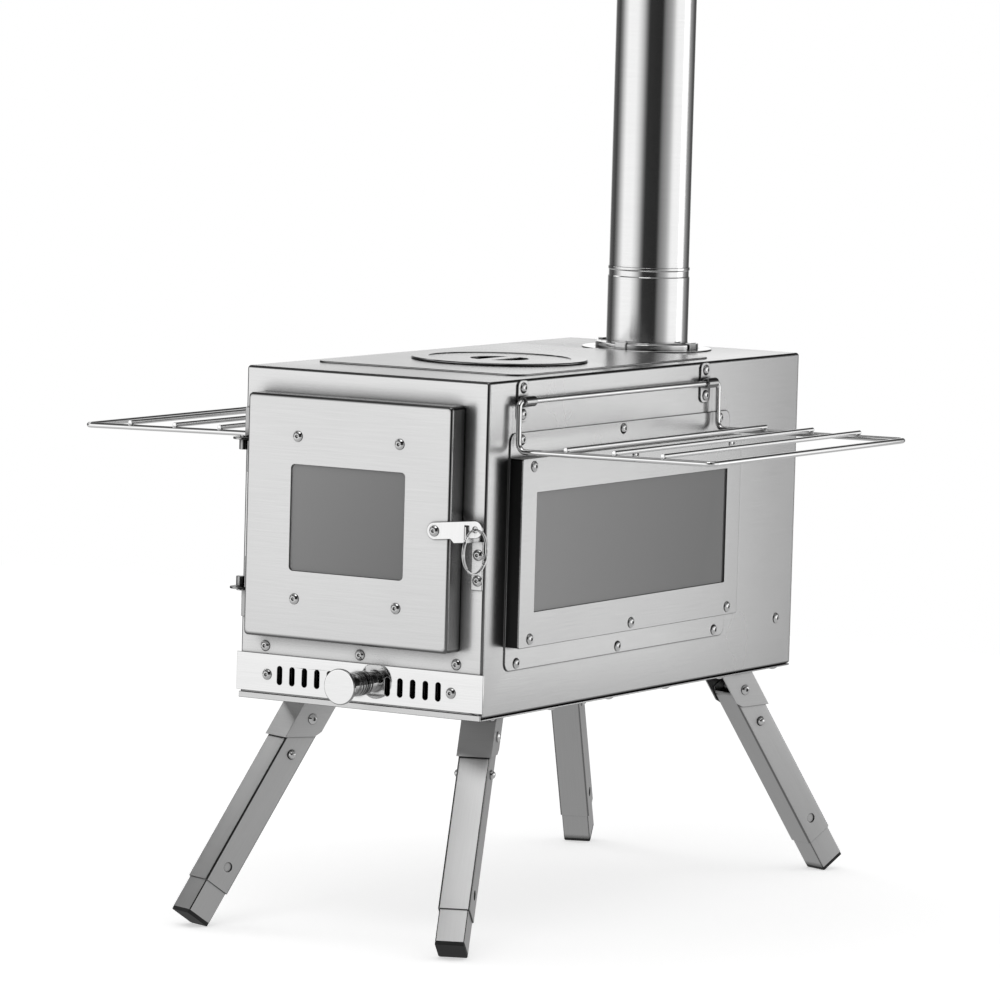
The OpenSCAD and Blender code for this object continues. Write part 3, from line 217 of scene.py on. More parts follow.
soft_box("front box", (0.4, -1.4, 2.5), (0, 0, 0.3), (1.2, 1.2), 7.5)
soft_box("left box", (-2.2, 0.1, 1.7), (0, 0, 0.3), (1.0, 1.0), 5)
soft_box("right box", (0.85, 0.95, 0.25), (0, 0, 0.28), (0.5, 0.9), 1.0)


# Body sheets: a wrap for top and sides, a pan and two end sheets, of 1.2 mm stainless sheet, cut and
# folded. The fine brushed face gives soft even greys; its bends and cut edges show as thin dark lines,
# mirroring the dark room and darkened further by painted shade.
def brushed(name, code, rough, across=2, spacing_mm=0.6, depth=0.4, along=0.6, shade_mm=9.0, bend=0.3,
        axes=np.eye(3)):
    """Brushed steel: noise squeezed by 1/60 along the brush, spacing_mm from line to line, moves tone and
    bump; slow noise moves the roughness. across is the axis that the lines repeat along. The real lines
    are 0.1 mm apart and are drawn coarser so that they show. Flats point along one of the piece's axes,
    where the sum of n^4 is 1; off them, on stretched bends and cut edges, roughness falls to bend of its
    value and the colour is darkened by the same factor, painted shade along the edges. Recesses narrower
    than the given depth are darkened by ambient occlusion, painted shade."""
    new, tree = material(name)
    place = add(tree, "ShaderNodeTexCoord")
    own_axes = Matrix(axes.tolist()).to_euler("XYZ")
    own = add(tree, "ShaderNodeVectorRotate", {"Vector": place.outputs["Object"], "Rotation": own_axes},
        rotation_type="EULER_XYZ")
    scale = np.full(3, 1000 / spacing_mm / 60)
    scale[across] = 1000 / spacing_mm
    turn = add(tree, "ShaderNodeMapping", {"Vector": own.outputs[0], "Scale": scale.tolist()})
    lines = add(tree, "ShaderNodeTexNoise", {"Vector": turn.outputs[0], "Scale": 1.0, "Detail": 3.0})
    bump = add(tree, "ShaderNodeBump", {"Height": lines.outputs["Fac"], "Strength": depth,
        "Distance": 0.00004})
    surface = add(tree, "ShaderNodeNewGeometry")
    facing = add(tree, "ShaderNodeVectorTransform", {0: surface.outputs["Normal"]},
        vector_type="NORMAL", convert_from="WORLD", convert_to="OBJECT")
    facing = add(tree, "ShaderNodeVectorRotate", {"Vector": facing.outputs[0], "Rotation": own_axes},
        rotation_type="EULER_XYZ")
    square = add(tree, "ShaderNodeVectorMath", {0: facing.outputs[0], 1: facing.outputs[0]},
        operation="MULTIPLY")
    fourth = add(tree, "ShaderNodeVectorMath", {0: square.outputs[0], 1: square.outputs[0]},
        operation="DOT_PRODUCT")
    flat = add(tree, "ShaderNodeMapRange", {"Value": fourth.outputs["Value"], "From Min": 0.8,
        "From Max": 0.98, "To Min": bend, "To Max": 1.0})
    tone = add(tree, "ShaderNodeMix", {0: lines.outputs["Fac"]}, data_type="RGBA")
    base = np.array(srgb(code)[:3])
    tone.inputs[6].default_value = (*(base * 0.93), 1)
    tone.inputs[7].default_value = (*np.minimum(base * 1.06, 1), 1)
    # Painted shade: ambient occlusion darkens the colour in recesses, and the flat factor darkens it on bends
    # and cut edges.
    occlusion = add(tree, "ShaderNodeAmbientOcclusion", {"Distance": shade_mm / 1000}, samples=8)
    painted_shade = add(tree, "ShaderNodeMapRange", {"Value": occlusion.outputs["AO"], "From Min": 0.35,
        "From Max": 0.9, "To Min": 0.12, "To Max": 1.0})
    painted_shade = add(tree, "ShaderNodeMath", {0: painted_shade.outputs[0], 1: flat.outputs[0]}, operation="MULTIPLY")
    tone = add(tree, "ShaderNodeMix", {0: 1.0, 6: tone.outputs[2], 7: painted_shade.outputs[0]}, data_type="RGBA",
        blend_type="MULTIPLY")
    wear = add(tree, "ShaderNodeTexNoise", {"Vector": place.outputs["Object"], "Scale": 9.0, "Detail": 4.0})
    haze = add(tree, "ShaderNodeMapRange", {"Value": wear.outputs["Fac"], "To Min": rough * 0.8,
        "To Max": rough * 1.2})
    haze = add(tree, "ShaderNodeMath", {0: haze.outputs[0], 1: flat.outputs[0]}, operation="MULTIPLY")
    metal = add(tree, "ShaderNodeBsdfPrincipled", {"Base Color": tone.outputs[2], "Metallic": 1.0,
        "Roughness": haze.outputs[0], "Anisotropic": along, "Anisotropic Rotation": 0.25,
        "Normal": bump.outputs[0]})
    output(tree, metal.outputs[0])
    return new


def dress(stuff, *names):
    """Gives these CAD nodes one material."""
    for name in names:
        nodes[name].data.materials.clear()
        nodes[name].data.materials.append(stuff)


def softened(source, name, width, stuff, chosen=lambda middle: True, shift=None):
    """A piece from a CAD node: its triangles are merged into flat faces and the edges over 30 degrees whose
    middles, in millimetres, are chosen get a round bevel of this width. shift may move its points first."""
    mesh = nodes[source].data.copy()
    work = bmesh.new()
    work.from_mesh(mesh)
    bmesh.ops.remove_doubles(work, verts=work.verts, dist=1e-6)
    bmesh.ops.dissolve_limit(work, angle_limit=0.01, verts=work.verts, edges=work.edges)
    work.to_mesh(mesh)
    work.free()
    mesh.attributes.remove(mesh.attributes["custom_normal"])
    mesh.polygons.foreach_set("use_smooth", np.full(len(mesh.polygons), True))
    mesh.set_sharp_from_angle(angle=np.radians(30))
    places, ends = np.empty(3 * len(mesh.vertices)), np.empty(2 * len(mesh.edges), int)
    mesh.vertices.foreach_get("co", places)
    mesh.edges.foreach_get("vertices", ends)
    places = places.reshape(-1, 3) * 1000
    if shift:
        places = shift(places)
        mesh.vertices.foreach_set("co", (places / 1000).ravel())
    sharp = np.empty(len(mesh.edges), bool)
    mesh.attributes["sharp_edge"].data.foreach_get("value", sharp)
    middle = places[ends.reshape(-1, 2)].mean(1)
    share = mesh.attributes.new("bevel_weight_edge", "FLOAT", "EDGE")
    share.data.foreach_set("value", (sharp & chosen(middle)).astype(np.float32))
    mesh.materials.clear()
    mesh.materials.append(stuff)
    new = bpy.data.objects.new(name, mesh)
    bpy.context.scene.collection.objects.link(new)
    soft = new.modifiers.new("soft edges", "BEVEL")
    soft.limit_method, soft.width, soft.segments = "WEIGHT", width / 1000, 4
    soft.use_clamp_overlap, soft.harden_normals = False, True
    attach(new, nodes[source].parent.name.split(":")[1])
    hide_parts(source)


# The body's underside, front and back in the CAD frame, millimetres.
BASE, FRONT, BACK = 159.126, -225.0, 220.0
HEIGHT = 235
MID_Y = (FRONT + BACK) / 2
# The two end sheets take painted shade 15 mm deep round the door; the wrap only close to its plates.
sheet_steel = brushed("brushed stainless sheet", "#d4d4d4", 0.26, shade_mm=15)


def outside(p):
    """Whether these points lie on the outline of the 200 x 235 mm body, seen from its front."""
    return (abs(p[:, 0]) > 97.5) | (p[:, 2] > BASE + HEIGHT - 2.5) | (p[:, 2] < BASE + 5)


def deeper(p):
    """The seam between the end sheets and the wrap, 1.2 mm behind each end, moved in to 2.5 mm, so that the
    end sheets can show their bend."""
    seam = outside(p) & (abs(abs(p[:, 1] - MID_Y) - 221.3) < 0.05) & ((abs(p[:, 0]) > 98.9)
        | (p[:, 2] > BASE + HEIGHT - 1.3) | (p[:, 2] < BASE + 2.6))
    return p - np.where(seam, np.sign(p[:, 1] - MID_Y) * 1.3, 0)[:, None] * (0, 1, 0)


softened("front_panel", "front_sheet", 2.2, sheet_steel,
    lambda m: outside(m) & (m[:, 1] < FRONT + 0.1), deeper)
side_steel = brushed("brushed stainless wrap", "#d2d2d2", 0.26, shade_mm=3.5)
softened("base_pan", "pan_sheet", 0.4, side_steel)
softened("back_panel", "back_sheet", 2.2, sheet_steel,
    lambda m: outside(m) & (m[:, 1] > BACK - 0.1), deeper)
softened("body_wrap", "wrap_sheet", 0.3, side_steel,
    lambda m: (abs(m[:, 1] - MID_Y) > 219) & ((abs(m[:, 0]) > 99.5) | (m[:, 2] > BASE + HEIGHT - 0.5)),
    deeper)

# Top plate: one loose 1.2 mm stainless plate with round corners and a hole for the lid, laid on the body
# top. Laser-cut and tumbled, so that its edge is soft; brushed evenly, it mirrors the flue as a smear.
def rounded(corners, radii, steps=4, guard=0.2, weights=None):
    """A closed section with round corners: each corner P is swapped for the blend
    (1-t)^2 A + 2t(1-t) P + t^2 B between points A and B a radius away along its two sides,
    with a guard point beyond each, so that the flats stay flat in smooth shading."""
    c = np.asarray(corners, float)
    w = np.ones(c.shape[1]) if weights is None else np.asarray(weights, float)
    r = np.broadcast_to(np.asarray(radii, float), (len(c),))[:, None]
    out = []
    for near in (np.roll(c, 1, 0) - c, np.roll(c, -1, 0) - c):
        size = np.linalg.norm(near * w, axis=1, keepdims=True)
        step = near / size
        cap = np.minimum(r, 0.42 * size)
        out.append((c + step * cap, c + step * np.minimum(cap + guard, 0.47 * size)))
    (a, a2), (b, b2) = out
    t = np.linspace(0, 1, steps + 1)[:, None, None]
    bend = (1 - t) ** 2 * a + 2 * t * (1 - t) * c + t ** 2 * b
    return np.concatenate([a2[None], bend, b2[None]]).transpose(1, 0, 2).reshape(-1, c.shape[1])


def outline(w, h, r, x=0, y=0, k=6):
    """Round-cornered rectangles, one for each row of the inputs: points (rows, 4k+4, 2), each corner a
    quarter circle of radius r about its own centre."""
    w, h, r, x, y = (np.atleast_1d(np.asarray(v, float))[:, None] for v in np.broadcast_arrays(w, h, r, x, y))
    turn = np.repeat(np.arange(4), k + 1)
    a = np.radians(turn * 90 + np.tile(np.linspace(0, 90, k + 1), 4))[None]
    sx, sy = np.array([1, -1, -1, 1])[turn][None], np.array([1, 1, -1, -1])[turn][None]
    return np.stack([x + sx * (w / 2 - r) + r * np.cos(a), y + sy * (h / 2 - r) + r * np.sin(a)], -1)


def skin(loops, closed=True):
    """Quads between neighbouring loops (m, n, 3), each loop closed on itself; closed also joins last to
    first. They are turned so that the enclosed volume, the sum of a.(b x c)/6, is positive."""
    m, n = loops.shape[:2]
    i = np.arange(m * n).reshape(m, n)
    j = np.roll(i, -1, 0)
    if not closed:
        i, j = i[:-1], j[:-1]
    faces = np.stack([i, np.roll(i, -1, 1), np.roll(j, -1, 1), j], -1).reshape(-1, 4)
    points = loops.reshape(-1, 3)
    a, b, c, d = (points[faces[:, q]] for q in range(4))
    if (a * (np.cross(b, c) + np.cross(c, d))).sum() < 0:
        faces = faces[:, ::-1]
    return points, faces


def joined(*shapes):
    """Several (points, faces) as one."""
    starts = np.cumsum([0] + [len(p) for p, _ in shapes[:-1]])
    faces = [f + start for (_, f), start in zip(shapes, starts)]
    return np.concatenate([p for p, _ in shapes]), np.concatenate(faces)


def plate_ring(corners, radii, k=6, guard=0.2):
    """A flat frame: its section's corners are rows (width, height, corner radius, level, x, y), blended
    round and swept along the outlines; local x, y, z in millimetres."""
    s = rounded(corners, radii, guard=guard, weights=(0.5, 0, 0, 1, 0, 0))
    flat = outline(s[:, 0], s[:, 1], np.maximum(s[:, 2], 0.05), s[:, 4], s[:, 5], k)
    return skin(np.concatenate([flat, np.broadcast_to(s[:, 3][:, None, None], flat.shape[:2] + (1,))], -1))


def moved(shape, to, axes=((1, 0, 0), (0, 1, 0), (0, 0, 1))):
    """The shape with its local axes laid along the given directions, then moved; a mirrored set of axes
    also turns the faces round."""
    m = np.array(axes, float)
    faces = shape[1] if np.linalg.det(m) > 0 else shape[1][:, ::-1]
    return shape[0] @ m + np.array(to, float), faces


deck = BASE + HEIGHT
lid_y = FRONT + 177
# The top's grey, darker than the body sheets', is painted shade for how the top is lit.
top_steel = brushed("brushed stainless top", "#cccccc", 0.26, across=0, along=0.0, shade_mm=3)
top_rim = (171, 275, 12)
top_hole = (114, 114, 57)
top_thick = 1.2
top_y = FRONT + 63 + top_rim[1] / 2
top_plate = piece("top_plate", moved(plate_ring(
    [(*top_rim, top_thick, 0, top_y), (*top_hole, top_thick, 0, lid_y), (*top_hole, 0, 0, lid_y),
     (*top_rim, 0, 0, top_y)], [0.45, 0.45, 0.2, 0.2], k=14), (0, 0, deck)), top_steel, "stove")
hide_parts("cook_top")

# Firebox: a slotted grate on two folded legs, and a baffle on two rails under the flue. Heavier bare
# plate, cut and folded; the heat has left it darker and duller than the outside.
fire_steel = brushed("bare firebox plate", "#8a8784", 0.45, across=0, along=0.0)
softened("grate", "fire_grate", 0.4, fire_steel)
softened("baffle", "smoke_baffle", 0.4, fire_steel)
softened("baffle_rails", "smoke_baffle_rails", 0.3, fire_steel)

# Air inlet: a mirror-polished slotted plate, a slotted slide behind it in two guides, and a turned knob.
# The knob has a flat disc face and a neck with three rings, screwed through the slide. The plate shows
# the floor almost unblurred; the mill finish of the parts behind it and of the hinges is plain and dull.
mirror_steel = brushed("mirror polished stainless", "#ececec", 0.05, depth=0.04, along=0.0, shade_mm=3,
    bend=0.5)
plain_steel = brushed("mill finish sheet", "#b4b4b4", 0.36)
softened("air_plate", "inlet_plate", 0.35, mirror_steel)
softened("air_shutter", "inlet_slide", 0.3, plain_steel)
softened("shutter_guides", "slide_guides", 0.3, plain_steel)


def lathe(profile, turns=64):
    """A closed profile (radius, height) turned about the local z axis: x = r cos a, y = r sin a."""
    a = np.linspace(0, 2 * np.pi, turns, endpoint=False)
    r, z = (v[:, None] for v in np.asarray(profile, float).T)
    return skin(np.stack([r * np.cos(a), r * np.sin(a), z + 0 * a], -1))


FRONTWARD = ((1, 0, 0), (0, 0, 1), (0, -1, 0))
inlet_z = BASE + 18
knob_side = [(0.02, -1.3), (3, -1.3), (3, 1.6), (8.5, 1.6), (8.5, 3.2), (7.6, 3.2), (7.6, 4.8), (8.5, 4.8),
    (8.5, 6.4), (7.6, 6.4), (7.6, 8), (8.5, 8), (8.5, 9.6), (7.4, 9.6), (7.4, 23.3), (12.2, 23.3),
    (12.7, 23.8), (12.7, 25.6), (12.2, 26.1), (0.02, 26.1)]
knob_round = [0.01, 0.01, 0.3, 0.4, 0.4, 0.35, 0.35, 0.4, 0.4, 0.35, 0.35, 0.4, 0.4, 0.6, 0.8, 0.4, 0.4,
    0.4, 0.4, 0.01]
tail = [(0.02, -9), (2, -9), (2, -5.5), (4.02, -5.5), (4.02, -2.3), (0.02, -2.3)]
knob = piece("knob", moved(joined(lathe(rounded(knob_side, knob_round, guard=0.15)),
    lathe(rounded(tail, [0.01, 0.5, 0.2, 0.3, 0.3, 0.01], guard=0.15), 24)),
    (0, FRONT, inlet_z), FRONTWARD), mirror_steel, "damper")
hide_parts("air_knob")

# Side windows: a plate on the body, a dark box frame, a bright cover and a smoked pane on a cord, held by
# screws. The cover is laser-cut 1.2 mm sheet with soft edges; the box is blackened and shows only a faint
# sheen; the pane is 4 mm ceramic glass, grey with smoke, with painted shade darkening it towards its foot.
dark_steel = brushed("dark window box", "#3c3c3c", 0.3, across=0)
cover_steel = brushed("brushed window cover", "#c9c9c9", 0.26)


def smoked(name, clear, shaded_tone, start, end):
    """Smoked ceramic glass, polished, with faint clouds, that lets a third of the light through; its colour
    darkens from start to end in metres, t = (P - start).(end - start) / |end - start|^2: painted shade."""
    new, tree = material(name)
    place = add(tree, "ShaderNodeTexCoord")
    run = np.array(end) - start
    past = add(tree, "ShaderNodeVectorMath", {0: place.outputs["Object"], 1: start}, operation="SUBTRACT")
    shade_run = add(tree, "ShaderNodeVectorMath", {0: past.outputs[0], 1: (run / (run @ run)).tolist()},
        operation="DOT_PRODUCT")
    tone = add(tree, "ShaderNodeMix", {0: shade_run.outputs["Value"], 6: srgb(clear), 7: srgb(shaded_tone)},
        data_type="RGBA")
    cloud = add(tree, "ShaderNodeTexNoise", {"Vector": place.outputs["Object"], "Scale": 12.0,
        "Detail": 2.0})
    haze = add(tree, "ShaderNodeMapRange", {"Value": cloud.outputs["Fac"], "To Min": 0.02, "To Max": 0.07})
    pane = add(tree, "ShaderNodeBsdfPrincipled", {"Base Color": tone.outputs[2],
        "Roughness": haze.outputs[0], "IOR": 1.5, "Transmission Weight": 0.3})
    output(tree, pane.outputs[0])
    return new


# Each pane's grey darkens along a painted shade gradient: the side panes towards the back and down, the door
# pane towards the right and down.
side_glass = smoked("smoked side glass", "#a2a2a2", "#747474", (0, -0.18, 0.31), (0, 0.06, 0.24))
door_glass = smoked("smoked door glass", "#acacac", "#8e8e8e", (-0.05, 0, 0.33), (0.05, 0, 0.27))
dress(side_glass, "window_glass_right", "window_glass_left")
dress(door_glass, "door_glass")
RIGHTWARD = ((0, 1, 0), (0, 0, 1), (1, 0, 0))
LEFTWARD = ((0, 1, 0), (0, 0, 1), (-1, 0, 0))
SIDE = 100
at_window = (0, FRONT + 183.5, BASE + 115)
# Outlines as width, height and corner radius, and levels above the body's side.
view = (270, 83.2, 0.6)
cover_rim = (310, 132.2, 1.5)
box_rim, box_inside, box_lip = (309.4, 131.6, 1.2), (307, 129.2, 0.5), (286, 108.2, 0.5)
plate_rim, plate_hole = (310, 166, 6), (270, 83.2, 1.5)
cover_top, box_top, lip_low, plate_top = 11.5, 10.3, 9.1, 1
for hand, way, x in (("right", RIGHTWARD, SIDE), ("left", LEFTWARD, -SIDE)):
    to = (x, *at_window[1:])
    cover = piece("window_cover_face_" + hand, moved(plate_ring(
        [(*cover_rim, cover_top, 0, 0), (*view, cover_top, 0, 0), (*view, box_top, 0, 0),
         (*cover_rim, box_top, 0, 0)], [0.4, 0.4, 0.2, 0.3], guard=0.15), to, way), cover_steel, "stove")
    frame_box = piece("window_frame_" + hand, moved(plate_ring(
        [(*box_rim, box_top, 0, 0), (*box_lip, box_top, 0, 0), (*box_lip, lip_low, 0, 0),
         (*box_inside, lip_low, 0, 0), (*box_inside, plate_top, 0, 0), (*box_rim, plate_top, 0, 0)],
        [0.35, 0.2, 0.2, 0.3, 0.2, 0.2], guard=0.15), to, way), dark_steel, "stove")
    back_plate = piece("window_back_" + hand, moved(plate_ring(
        [(*plate_rim, plate_top, 0, 0), (*plate_hole, plate_top, 0, 0), (*plate_hole, 0, 0, 0),
         (*plate_rim, 0, 0, 0)], [0.35, 0.3, 0.1, 0.1], guard=0.15), to, way), side_steel, "stove")
    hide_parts("window_cover_" + hand)
    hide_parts("window_box_" + hand)
    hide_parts("window_plate_" + hand)

# Cord gaskets: white mineral cord, braided round, laid in the door's channel and behind the side panes.
# Each is one length of about 9 mm cord bent round the frame, its ends butted; the weave is soft and matt.
# The strands, about 0.7 mm apart, are drawn twice as coarse so that they show.
cord_white, tree = material("braided mineral cord")
place = add(tree, "ShaderNodeTexCoord")
weave = add(tree, "ShaderNodeTexVoronoi", {"Vector": place.outputs["Object"], "Scale": 700.0})
# The colour darkens into the weave's hollows, where the bump is low: painted shade.
tone = add(tree, "ShaderNodeMix", {0: weave.outputs["Distance"]}, data_type="RGBA")
tone.inputs[6].default_value = srgb("#8f8a80")
tone.inputs[7].default_value = srgb("#d9d5cc")
bump = add(tree, "ShaderNodeBump", {"Height": weave.outputs["Distance"], "Strength": 0.6,
    "Distance": 0.0006})
output(tree, add(tree, "ShaderNodeBsdfPrincipled", {"Base Color": tone.outputs[2], "Roughness": 0.95,
    "Normal": bump.outputs[0]}).outputs[0])


def braid(w, h, r, wide, tall, level, pitch=11.0, count=None, around=20):
    """Cord along a round-cornered rectangle: section radius R(a, s) = 1 - 0.09 |sin(2a + 2 pi s/pitch)
    sin(2a - 2 pi s/pitch)| of a squarish oval wide by tall, s the length run, a the angle round it."""
    run = outline(w, h, r, k=10)[0]
    ends = np.roll(run, -1, 0)
    seg = np.linalg.norm(ends - run, axis=1)
    s = np.concatenate([[0], np.cumsum(seg)])
    total = s[-1]
    count = count or int(total / 2.2)
    q = np.linspace(0, total, count, endpoint=False)
    closed = np.concatenate([run, run[:1]])
    x, y = (np.interp(q, s, closed[:, i]) for i in (0, 1))
    t = np.stack([np.roll(x, -1) - np.roll(x, 1), np.roll(y, -1) - np.roll(y, 1)], -1)
    t /= np.linalg.norm(t, axis=1, keepdims=True)
    turns = round(total / pitch)
    a = np.linspace(0, 2 * np.pi, around, endpoint=False)[None]
    f = 2 * np.pi * turns * (q / total)[:, None]
    size = 1 - 0.09 * np.abs(np.sin(2 * a + f) * np.sin(2 * a - f))
    power = 0.7
    u = np.sign(np.cos(a)) * np.abs(np.cos(a)) ** power * wide / 2 * size
    v = np.sign(np.sin(a)) * np.abs(np.sin(a)) ** power * tall / 2 * size
    x, y = x[:, None], y[:, None]
    return skin(np.stack([x + t[:, 1:] * u, y - t[:, :1] * u, level + v + 0 * x], -1))


door_at = (-3, FRONT, BASE + 132.2)
seal = piece("door_cord", moved(braid(155, 158, 9, wide=9.8, tall=8.9, level=4.85), door_at, FRONTWARD),
    cord_white, "door")
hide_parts("door_gasket")
pane_cord = braid(277.2, 90.4, 4.5, wide=6.2, tall=5, level=3.6, pitch=9, count=190, around=12)
seals = piece("window_cords", joined(*(moved(pane_cord, (x, *at_window[1:]), way)
    for x, way in ((SIDE, RIGHTWARD), (-SIDE, LEFTWARD)))), cord_white, "stove")
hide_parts("window_gaskets")

# Screws: M4 button heads with a hex socket, most with a nut inside, in bright stainless steel. Turned and
# cold-formed, so the heads are smooth domes with a white glint; their dark foot and dark socket are painted
# shade.
screw_steel = brushed("bright screw steel", "#e0e0e0", 0.07, depth=0.05, along=0.0, shade_mm=5, bend=1.0)


def screw(grip, nut=True):
    """One screw seated at the origin, head up: loops whose radius is round or, in the socket and the nut,
    apothem / cos((a mod 60) - 30)."""
    a = np.radians(np.arange(0, 360, 15))
    hexed = 1 / np.cos((a % np.radians(60)) - np.radians(30))
    r = np.linspace(3.6, 1.55, 6)
    dome = np.stack([r, np.sqrt(5.1 ** 2 - r ** 2) - 2.9, 0 * r], -1)
    low = -grip - (4.4 if nut else 1.2)
    rows = np.array([(0.02, 0.85, 1), (1.2, 0.9, 1), (1.25, 1.0, 1), (1.25, 1.9, 1), *dome[::-1].tolist(),
        (3.78, 0.48, 0), (3.8, 0.3, 0), (3.78, 0.05, 0), (3.6, 0, 0), (2, 0, 0), (2, low + 0.5, 0),
        (1.6, low, 0), (0.02, low, 0)])
    radius = rows[:, :1] * np.where(rows[:, 2:] > 0, hexed[None], 1)
    loops = [np.stack([radius * np.cos(a), radius * np.sin(a), rows[:, 1:2] + 0 * a], -1)]
    shapes = [skin(loops[0], closed=False)]
    if nut:
        rows = np.array([(2.05, 0, 0), (3.1, 0, 0), (3.45, -0.3, 1), (3.5, -0.5, 1), (3.5, -2.7, 1),
            (3.45, -2.9, 1), (3.1, -3.2, 0), (2.05, -3.2, 0)])
        radius = rows[:, :1] * np.where(rows[:, 2:] > 0, hexed[None], 1)
        shapes.append(skin(np.stack([radius * np.cos(a), radius * np.sin(a),
            rows[:, 1:2] - grip + 0 * a], -1)))
    return joined(*shapes)


def screws(spots, axes, grip, nut=True, spin=7.0):
    """The same screw at each spot (n, 3), its head along axes[2], each turned spin degrees more than the
    last."""
    points, faces = screw(grip, nut)
    a = np.radians(np.arange(len(spots)) * spin)[:, None]
    x = points[:, 0] * np.cos(a) - points[:, 1] * np.sin(a)
    y = points[:, 0] * np.sin(a) + points[:, 1] * np.cos(a)
    m = np.array(axes, float)
    all_points = np.stack([x, y, points[:, 2] + 0 * x], -1) @ m + np.asarray(spots, float)[:, None]
    faces = faces if np.linalg.det(m) > 0 else faces[:, ::-1]
    starts = np.arange(len(spots))[:, None, None] * len(points)
    return all_points.reshape(-1, 3), (faces + starts).reshape(-1, 4)


def grid(xs, ys):
    """Every pair of xs and ys."""
    return np.stack(np.meshgrid(xs, ys), -1).reshape(-1, 2)


# Half spacings of the window's screws, and the racks' hinge lines above the underside.
along, cover_high, plate_high = 140, 60.2, 78
rack_rise = {"right": 219.9, "left": 218.0}
sets = []
for hand, x, way in (("right", SIDE, RIGHTWARD), ("left", -SIDE, LEFTWARD)):
    out = np.sign(x)
    yz = grid(at_window[1] + np.array([-along, 0, along]), at_window[2] + np.array([-cover_high, cover_high]))
    sets.append(screws(np.c_[np.full(6, x + out * cover_top), yz], way, 2.4))
    yz = grid(at_window[1] + np.array([-along, 0, along]), at_window[2] + np.array([-plate_high, plate_high]))
    sets.append(screws(np.c_[np.full(6, x + out * plate_top), yz], way, 2.2, spin=11))
    sets.append(screws([(x, FRONT + 420, BASE + 37.5)], way, 1.2))
    yz = grid(FRONT + np.array([43.5, 300.5]), BASE + rack_rise[hand] + np.array([-9.2, 9.2]))
    sets.append(screws(np.c_[np.full(4, x + out * 1.2), yz], way, 2.4, spin=17))
side_heads = piece("side_screw_heads", joined(*sets), screw_steel, "stove")
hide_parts("side_screws")
front_heads = piece("front_screw_heads", joined(
    screws([(x, FRONT, BASE + 38) for x in (-79, 0, 79)], FRONTWARD, 1.2, spin=13),
    screws([(x, FRONT - 1.5, inlet_z) for x in (-76.1, 76.1)], FRONTWARD, 2.7, False),
    screws([(95.1, FRONT - 1.5, BASE + z) for z in (97.6, 115.4)], FRONTWARD, 2.7, False)),
    screw_steel, "stove")
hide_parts("front_screws")
DOWNWARD = ((1, 0, 0), (0, -1, 0), (0, 0, -1))
# Each leg's pivot, outward direction and pivot axis; the legs lean out from the vertical and splay
# sideways from the stove's length.
lean, splay = np.radians([34.3, 21.5])
pivot_x, pivot_y, pivot_low = 74, 182.5, 16.3
flange_t = 1.1
feet = []
for sx, sy in ((-1, -1), (1, -1), (-1, 1), (1, 1)):
    out = np.array([sx * np.sin(splay), sy * np.cos(splay), 0])
    feet.append((np.array([sx * pivot_x, sy * pivot_y, BASE - pivot_low]), out, np.cross((0, 0, 1), out)))
foot_spots = [p - 11 * out + s * 16.6 * wide + (0, 0, pivot_low - flange_t)
    for p, out, wide in feet for s in (-1, 1)]
base_heads = piece("base_screw_heads", joined(
    screws([(x, FRONT + 22 + 81 * i, BASE) for x in (-94.4, 94.4) for i in range(6)], DOWNWARD, 2.5),
    screws(foot_spots, DOWNWARD, 2.3)), screw_steel, "stove")
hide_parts("base_screws")

# Hinges: two brackets welded to the front sheet, two rolled eyes on the door's side, two headed pins.
# Bent from plain 1.5 mm strip; the pins drop in from above and below.
softened("hinge_brackets", "hinge_plates", 0.3, plain_steel)
softened("door_ears", "hinge_eyes", 0.3, plain_steel)
softened("hinge_pins", "hinge_pin_rods", 0.3, screw_steel)

# Door: a tray pressed from brushed 1.2 mm sheet with a window, a cord channel welded inside,
# and a rimmed frame that clamps the pane. Its front edge is bent to a 2.2 mm radius, a dark soft line
# that mirrors the dark room and carries painted shade.
door_steel = brushed("brushed stainless door", "#cfcfcf", 0.26)
# Outlines as width, height and corner radius, and levels in front of the body.
window = (93.6, 74.4, 3)
door_rim, door_inside = (168, 171, 3), (165.6, 168.6, 1.8)
lip_inside, lip_outside = (142, 145, 3), (144.4, 147.4, 3)
face, face_back, wall_end = 17, 15.8, 0.4
floor_front, floor_back, lip_end = 10.6, 9.4, 2.4
walls = [(*door_rim, face, 0, 0), (*window, face, 0, 0), (*window, face_back, 0, 0),
    (*door_inside, face_back, 0, 0), (*door_inside, wall_end, 0, 0), (*door_rim, wall_end, 0, 0)]
channel = [(*door_inside, floor_front, 0, 0), (*lip_inside, floor_front, 0, 0),
    (*lip_inside, lip_end, 0, 0), (*lip_outside, lip_end, 0, 0), (*lip_outside, floor_back, 0, 0),
    (*door_inside, floor_back, 0, 0)]
tray = piece("door_skin", moved(joined(plate_ring(walls, [2.2, 0.4, 0.3, 0.5, 0.3, 0.4]),
    plate_ring(channel, [0.1, 0.8, 0.3, 0.3, 0.3, 0.1])), door_at, FRONTWARD), door_steel, "door")
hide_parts("door_tray")
softened("door_frame", "pane_clamp", 0.3, plain_steel)
latch_x, latch_z = 69.7, BASE + 131.6
door_heads = piece("door_screw_heads", joined(
    screws([(door_at[0] + x, FRONT - face, door_at[2] + z) for x in (-41.9, 41.9) for z in (-57, 57)],
        FRONTWARD, 6.6, spin=19),
    screws([(latch_x, FRONT - 18.7, latch_z)], FRONTWARD, 2.9)), screw_steel, "door")
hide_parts("door_screws")

